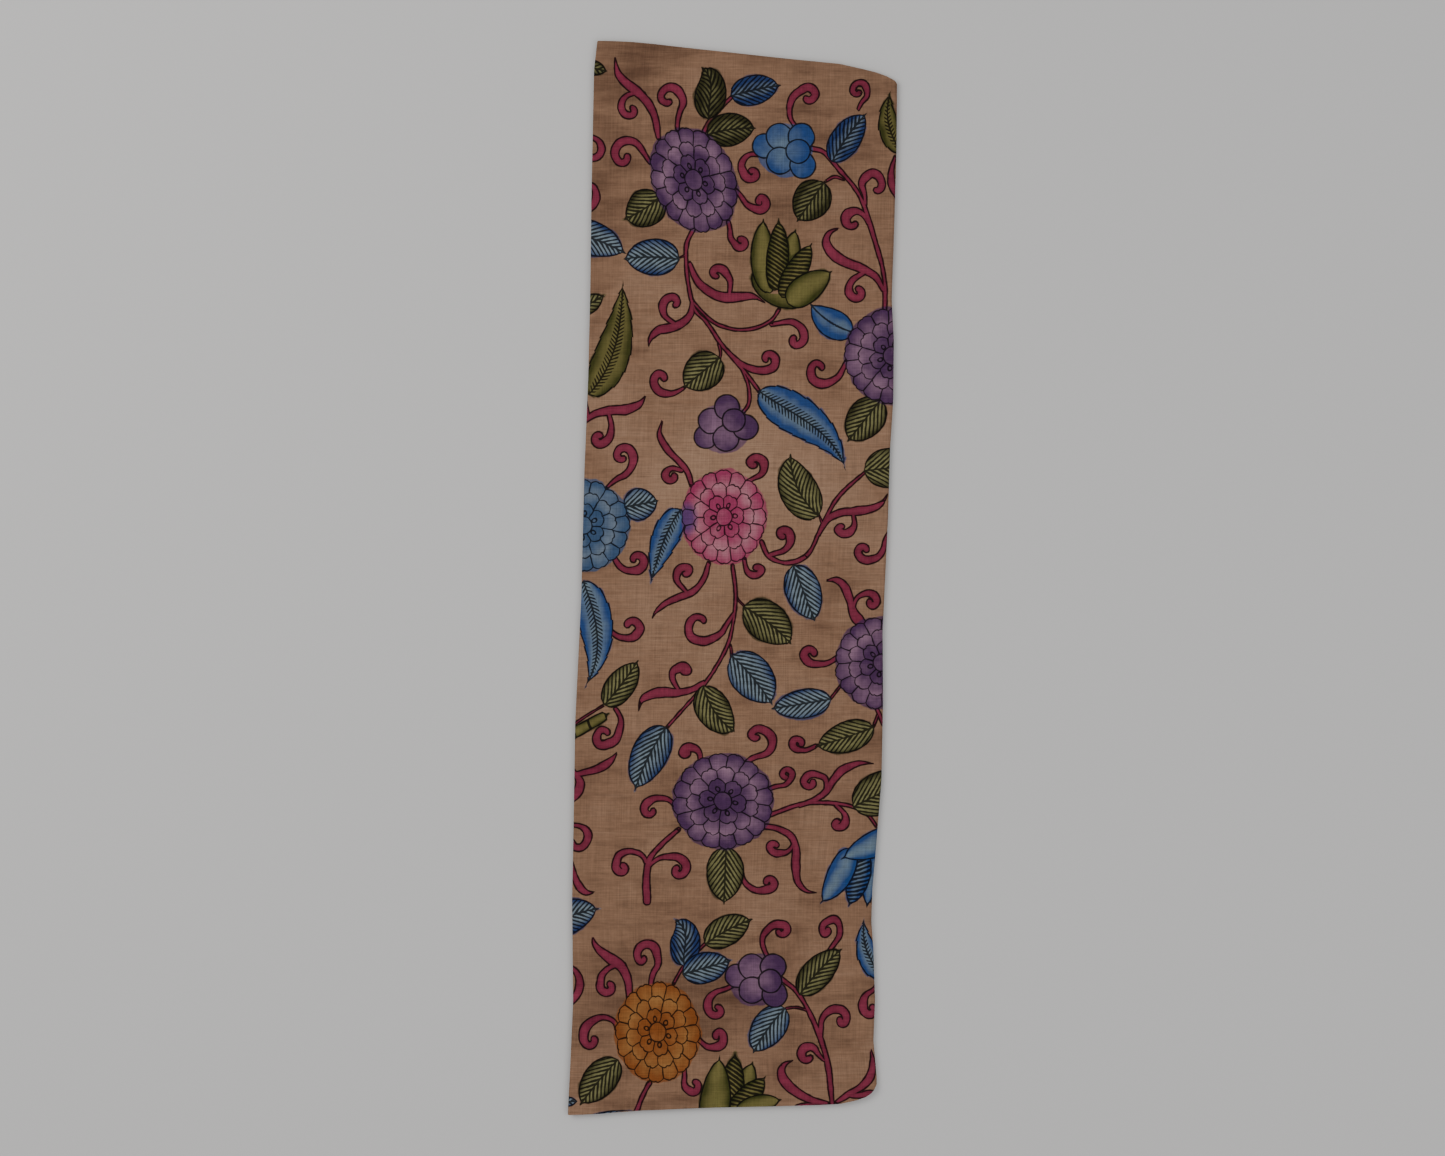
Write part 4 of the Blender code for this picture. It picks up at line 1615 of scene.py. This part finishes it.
@dataclass(frozen=True)
class PaintedCotton:
    """Matt brown cotton with inked outlines and dye washes.

    The deep and pale dye colours stand in Dye's order. Each scale is that of a noise, in waves for
    each metre: of the lines' width, their drift, the washes' tone, the run dye and the mottling.
    """

    ground: Colour = linear(130, 98, 75)
    ground_dark: Colour = linear(94, 67, 50)
    ground_pale: Colour = linear(152, 120, 96)
    ink: Colour = linear(6, 3, 3)
    crimson: Colour = linear(94, 23, 44)
    crimson_pale: Colour = linear(130, 46, 67)
    violet: Colour = linear(84, 52, 96)
    deep: tuple[Colour, ...] = (
        linear(26, 48, 90),
        linear(42, 42, 18),
        linear(66, 38, 72),
        linear(140, 46, 80),
        linear(122, 66, 26),
        linear(28, 60, 108),
        linear(50, 52, 18),
        linear(50, 74, 102),
    )
    pale: tuple[Colour, ...] = (
        linear(110, 124, 132),
        linear(114, 110, 70),
        linear(138, 104, 122),
        linear(172, 120, 126),
        linear(150, 104, 56),
        linear(104, 120, 128),
        linear(104, 96, 52),
        linear(112, 122, 130),
    )
    roughness: float = 0.92
    line_scale: float = 190.0
    drift_scale: float = 75.0
    tone_scale: float = 60.0
    run_scale: float = 48.0
    mottle_scale: float = 240.0
    thread_pitch: float = 0.45 * MM

    def dye(self, graph: Graph, number: Number, pale: bool) -> bpy.types.NodeSocket:
        """Return the deep or pale colour of a dye by its number."""
        colours = self.pale if pale else self.deep
        stops = [(index / len(colours), colour) for index, colour in enumerate(colours)]
        share = ((number + 0.5).whole() + 0.5) / float(len(colours))
        settings = {"stops": stops, "interpolation": "CONSTANT"}
        return graph.node("ShaderNodeValToRGB", settings, {0: share}).outputs[0]

    def vine(self, graph: Graph, hand: Hand) -> Stain:
        """Draw stems and tendrils: an inked band filled with crimson."""
        depth: Any = None
        for band in range(VINE_BANDS):
            gap, half, _ = graph.split(f"vine_{band}")
            edge = abs(gap) - half
            depth = edge if depth is None else depth.least(edge)
        depth = depth + hand.drift * 0.7
        cover = depth.below(0.1)
        ink = abs(depth + 0.2).below(hand.line)
        middle = (depth * -0.3).held()
        colour = graph.mix(middle * 0.45 + hand.tone * 1.3 - 0.5, self.crimson, self.crimson_pale)
        return Stain(cover, ink, colour, depth.below(hand.run * 0.5, 0.9) * 0.6)

    def leaf(self, slot: str, graph: Graph, hand: Hand) -> Stain:
        """Draw one leaf: outline, middle rib, side strokes, wash and the dye that has run out."""
        along, across, half = graph.split(f"leaf_{slot}_place")
        scale, tooth, dye = graph.split(f"leaf_{slot}_form")
        pitch, lean, reach = graph.split(f"leaf_{slot}_strokes")
        out = abs(across)
        folded = 1.0 - tooth.below(-0.5, 0.2)
        side = across.below(0.0, 0.01) * 0.5 * folded
        notch_pitch = 15.0
        notch = (along / notch_pitch + side + 0.3).part() * tooth.most(0.0)
        edge = (out - half + notch * 0.9) * scale + hand.drift * 0.5
        cover = edge.below(0.1)
        outline = abs(edge + 0.3).below(hand.line)
        bend = graph.math("MULTIPLY_ADD", out - across, folded, across)
        phase = ((along - bend * lean + hand.drift) / pitch + side).part()
        gap = abs(phase - 0.5) * pitch / graph.math("SQRT", lean * lean + 1.0)
        share = (out / half.most(0.5)).held()
        taper = graph.math("MULTIPLY_ADD", share * folded, -0.75, 1.50)
        stroke = hand.line * (taper - tooth.most(0.0) * 0.35)
        strokes = gap.below(stroke) * (share - reach).below(0.0, 0.05)
        rib = out.below(hand.line * 1.1) * (reach * 12.0).held() * folded
        ink = outline.most(cover * strokes.most(rib))
        paleness = ((dye + 0.5).part() - 0.5) / PALENESS_SHARE
        wash = share * share * 1.4 + hand.tone * 1.3 - 0.80 - paleness * 0.60
        colour = graph.mix(wash, self.dye(graph, dye, True), self.dye(graph, dye, False))
        return Stain(cover, ink, colour, edge.below(hand.run, 1.2) * 0.75)

    def bloom(self, graph: Graph, hand: Hand) -> Stain:
        """Draw a flower of ringed petals, or a bud of six lobes."""
        fx, fy, seed = graph.split("bloom_place")
        size, is_bud, dye = graph.split("bloom_form")
        fx = fx + hand.drift * 0.035
        fy = fy + (hand.tone - 0.5) * 0.05
        out = graph.math("SQRT", fx * fx + fy * fy)
        flower = self.petals(graph, out, fx, fy, seed, size, hand)
        bud = self.lobes(graph, out, fx, fy, size, hand)
        cover, ink, shade = (
            graph.math("MULTIPLY_ADD", b - f, is_bud, f) for b, f in zip(bud, flower)
        )
        deep, pale = self.dye(graph, dye, False), self.dye(graph, dye, True)
        colour = graph.mix(shade + hand.tone * 0.9 - 0.45, deep, pale)
        side = (fx - VIOLET_PATCH.x) / VIOLET_PATCH.half_x
        rise = (fy - VIOLET_PATCH.y) / VIOLET_PATCH.half_y
        patch = (1.0 - side * side - rise * rise).held() * abs(dye - Dye.PINK.value).below(0.3, 0.1)
        colour = graph.mix(patch * VIOLET_PATCH.strength, colour, self.violet)
        run = ((out - 1.0 + is_bud * 0.06) * size).below(hand.run, 1.2) * 0.8
        return Stain(cover, ink, colour, run)

    @staticmethod
    def petals(
        graph: Graph, out: Number, fx: Number, fy: Number, seed: Number, size: Number, hand: Hand
    ) -> tuple[Number, Number, Number]:
        """Return cover, ink and shade of a flower.

        Args:
            graph: The material.
            out: Distance from the centre, 1 at the rim.
            fx: Place to the side, 1 at the rim.
            fy: Place upwards, 1 at the rim.
            seed: Number of this flower.
            size: Its radius in millimetres.
            hand: Unevenness of the drawing.

        Returns:
            Cover, ink and shade, where a shade of 0 is the deep dye and 1 the pale one.
        """
        turn = graph.math("ARCTAN2", fy, fx) / (2 * math.pi) + 0.5
        cover: Any = None
        ink: Any = None
        shade: Any = None
        for index, (count, rim, depth, floor, base, lift, chance) in enumerate(PETAL_RINGS):
            value: Any = hand.tone * 0.05 + base
            edge = rim
            if count > 1:
                spot = turn * float(count) + seed * 0.37 * (index + 1)
                bow = abs(spot.part() - 0.5) * 2.0
                dent = (1.0 - bow * 2.6).most(0.0)
                dimple = dent * dent * (depth * 0.30)
                edge = rim - bow * bow * depth - dimple
            gap = (out - edge) * size
            inside = gap.below(0.0)
            line = abs(gap).below(hand.line * 0.85)
            if count > 1:
                petal = (spot.whole() / float(count)).part() * 7.31 + seed * 3.17 + index * 1.7
                draw = graph.node("ShaderNodeTexWhiteNoise", {"noise_dimensions": "1D"}, {"W": petal})
                pick = Number(graph, draw.outputs[0])
                wall = (1.0 - bow) * out * size * (math.pi / count)
                line = line.most(wall.below(hand.line * 0.85) * inside)
                height = ((out - floor) / (rim - floor)).held()
                value = base + pick * chance * 0.6 + (1.0 - height) * lift
                value = value + (1.0 - bow * bow) * 0.16 - 0.08
            if count == 6:
                reach = (out - 0.262) * size * 0.8
                sway = (spot.part() - 0.5) * out * size * (2 * math.pi / count)
                loop = graph.math("SQRT", reach * reach + sway * sway)
                line = line.most(abs(loop - 1.75).below(hand.line * 0.9))
            if cover is None:
                cover, ink, shade = inside, line, value
            else:
                ink = graph.math("MULTIPLY_ADD", ink * inside, -1.0, ink).most(line)
                shade = graph.math("MULTIPLY_ADD", value - shade, inside, shade)
        return cover, ink, shade

    @staticmethod
    def lobes(
        graph: Graph, out: Number, fx: Number, fy: Number, size: Number, hand: Hand
    ) -> tuple[Number, Number, Number]:
        """Return cover, ink and shade of a bud, whose lobes overlap towards its stem."""
        cover: Any = None
        ink: Any = None
        shade: Any = None
        for x, y, radius, base in LOBES:
            dx, dy = fx - x, fy - y
            gap = (graph.math("SQRT", dx * dx + dy * dy) - radius) * size
            inside = gap.below(0.0)
            line = abs(gap).below(hand.line)
            value = (1.0 - out) * 0.7 + base
            if cover is None:
                cover, ink, shade = inside, line, value
            else:
                cover = cover.most(inside)
                ink = graph.math("MULTIPLY_ADD", ink * inside, -1.0, ink).most(line)
                shade = graph.math("MULTIPLY_ADD", value - shade, inside, shade)
        return cover, ink, shade

    def cloth_colour(self, graph: Graph, flat: Any, place: Any) -> bpy.types.NodeSocket:
        """Return the undyed ground, with its stains, the painted shade along its upper cut end, clouds and
        streaks along the weft.
        """
        # The stains, with the painted shade along the upper cut end, darken the ground here.
        attribute = graph.node("ShaderNodeAttribute", {"attribute_name": "wear"}, {})
        wear = Number(graph, attribute.outputs["Fac"])
        blotch = graph.noise(place, 17.0, 4.0, 0.6)
        cloud = graph.noise(graph.stretched(place, (13.0, 58.0, 1.0)), 1.0, 4.0, 0.6)
        streak = graph.noise(graph.stretched(flat, (14.0, 420.0, 1.0)), 1.0, 3.0, 0.65)
        dark = (wear + (cloud - 0.52) * 2.7 + (blotch - 0.5) * 1.7).held()
        light = (wear * -1.0 + (blotch - 0.55) * -1.6 + (streak - 0.5) * 1.1).held()
        ground = graph.mix(dark, self.ground, self.ground_dark)
        return graph.mix(light, ground, self.ground_pale)

    def build(self) -> bpy.types.Material:
        """Make the material of the painted cloth."""
        graph = Graph("painted_cotton")
        flat = graph.node("ShaderNodeUVMap", {"uv_map": "flat_cloth"}, {}).outputs[0]
        place = graph.node("ShaderNodeTexCoord", {}, {}).outputs["Object"]
        hand = Hand(
            line=graph.noise(place, self.line_scale, 1.0) * 0.9 + 0.28,
            drift=(graph.noise(place, self.drift_scale, 1.0) - 0.5) * 2.4,
            tone=graph.noise(place, self.tone_scale, 2.0, 0.6),
            run=(graph.noise(place, self.run_scale, 2.0, 0.6) - 0.46) * 8.0,
        )
        colour = self.cloth_colour(graph, flat, place)
        ink: Any = None
        motifs = (
            self.vine,
            *(partial(self.leaf, slot) for slot in LEAF_SLOTS),
            self.bloom,
        )
        for draw in motifs:
            stain = draw(graph, hand)
            colour = graph.mix(stain.run.most(stain.cover * 0.97), colour, stain.colour)
            if ink is None:
                ink = stain.ink
            else:
                ink = graph.math("MULTIPLY_ADD", ink * stain.cover, -1.0, ink).most(stain.ink)
        colour = graph.mix(ink * 0.90, colour, self.ink)
        slub = graph.noise(graph.stretched(flat, (40.0, 1000.0, 1.0)), 1.0, 2.0, 0.6)
        warp = graph.noise(graph.stretched(flat, (1000.0, 25.0, 1.0)), 1.0, 2.0, 0.5)
        mottle = graph.noise(place, self.mottle_scale, 2.0, 0.6)
        shade = (slub - 0.5) * 0.8 + (warp - 0.5) * 0.6 + (mottle - 0.5) * 0.32 + 1.0
        grey = graph.node("ShaderNodeCombineColor", {}, {0: shade, 1: shade, 2: shade}).outputs[0]
        colour = graph.mix(1.0, colour, grey, "MULTIPLY")
        height = self.weave(graph, flat) + slub * 0.8
        bump = graph.node(
            "ShaderNodeBump", {}, {"Strength": 0.5, "Distance": 0.0002, "Height": height}
        )
        inputs = {
            "Base Color": colour,
            "Roughness": self.roughness,
            "Normal": bump.outputs[0],
            "Specular IOR Level": 0.12,
        }
        surface = graph.node("ShaderNodeBsdfPrincipled", {}, inputs)
        graph.node("ShaderNodeOutputMaterial", {}, {0: surface.outputs[0]})
        return graph.material

    def weave(self, graph: Graph, flat: Any) -> Number:
        """Return the height of the plain weave, whose threads stand a pitch apart."""
        parts = graph.node("ShaderNodeSeparateXYZ", {}, {0: flat})
        rate = math.pi / self.thread_pitch
        warp = graph.math("SINE", Number(graph, parts.outputs[0]) * rate)
        weft = graph.math("SINE", Number(graph, parts.outputs[1]) * rate)
        return warp * weft * 0.5 + 0.5


@dataclass(frozen=True)
class FloorFinish:
    """Plain pale matt floor."""

    colour: Colour = (0.62, 0.60, 0.57)

    def build(self) -> bpy.types.Material:
        """Make the floor's material."""
        graph = Graph("pale_floor")
        surface = graph.node(
            "ShaderNodeBsdfPrincipled", {}, {"Base Color": (*self.colour, 1.0), "Roughness": 0.9}
        )
        graph.node("ShaderNodeOutputMaterial", {}, {0: surface.outputs[0]})
        return graph.material


# Sub-assemblies


@dataclass
class Panel:
    """The painted cloth in its folds, standing for its solid."""

    flat_size: tuple[float, float] = (1.12, 1.0)
    flat_area: float = 1.09
    finish: PaintedCotton = field(default_factory=PaintedCotton)

    def build(self) -> bpy.types.Object:
        """Make the cloth, draw its pattern and bind it to the frame."""
        cloth = FoldedCloth()
        piece = cloth.build()
        VinePattern(cloth).mark_all(piece)
        piece.data.materials.append(self.finish.build())
        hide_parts("folded_panel")
        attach(piece, "root")
        return piece


@dataclass
class Studio:
    """Floor, soft lights and a camera straight above the strip."""

    frame_width: float = 1.3486
    lens: float = 85.0
    sensor: float = 36.0
    aim: tuple[float, float] = (-0.0093, 0.0)

    def build(self) -> None:
        """Make everything that isn't the object."""
        self.floor()
        self.lights()
        self.camera()

    def floor(self) -> None:
        """Lay a wide pale floor under the strip."""
        mesh = bpy.data.meshes.new("floor")
        half = 6.0
        corners = [(-half, -half, 0.0), (half, -half, 0.0), (half, half, 0.0), (-half, half, 0.0)]
        mesh.from_pydata([(x, y, z - 0.0001) for x, y, z in corners], [], [(0, 1, 2, 3)])
        mesh.materials.append(FloorFinish().build())
        floor = bpy.data.objects.new("floor", mesh)
        bpy.context.scene.collection.objects.link(floor)

    def lights(self) -> None:
        """Hang two large soft lamps and set a pale surround."""
        for name, place, size, power in (
            ("soft_left", (-1.9, 1.0, 2.2), 1.8, 46.0),
            ("soft_right", (1.8, -0.6, 2.6), 2.2, 26.0),
        ):
            light = bpy.data.lights.new(name, "AREA")
            light.shape = "SQUARE"
            light.size = size
            light.energy = power
            lamp = bpy.data.objects.new(name, light)
            lamp.location = place
            lamp.rotation_euler = (-Vector(place)).to_track_quat("-Z", "Y").to_euler()
            bpy.context.scene.collection.objects.link(lamp)
        world = bpy.data.worlds.new("pale_room")
        world.use_nodes = True
        surround = world.node_tree.nodes["Background"]
        surround.inputs["Color"].default_value = (0.9, 0.93, 1.0, 1.0)
        surround.inputs["Strength"].default_value = 0.55
        bpy.context.scene.world = world

    def camera(self) -> None:
        """Hang the camera straight above the strip."""
        camera = bpy.data.cameras.new("above")
        camera.lens = self.lens
        camera.sensor_width = self.sensor
        camera.clip_end = 50.0
        eye = bpy.data.objects.new("above", camera)
        eye.location = (*self.aim, self.frame_width * self.lens / self.sensor)
        bpy.context.scene.collection.objects.link(eye)
        bpy.context.scene.camera = eye


def main() -> None:
    """Build the panel and the studio."""
    logging.basicConfig(level=logging.INFO, format="%(name)s: %(message)s")
    piece = Panel().build()
    log.info("folded cloth: %d faces, %d corners", len(piece.data.polygons), len(piece.data.loops))
    Studio().build()
    log.info("studio: floor, lights and camera")


if __name__ == "__main__":
    main()
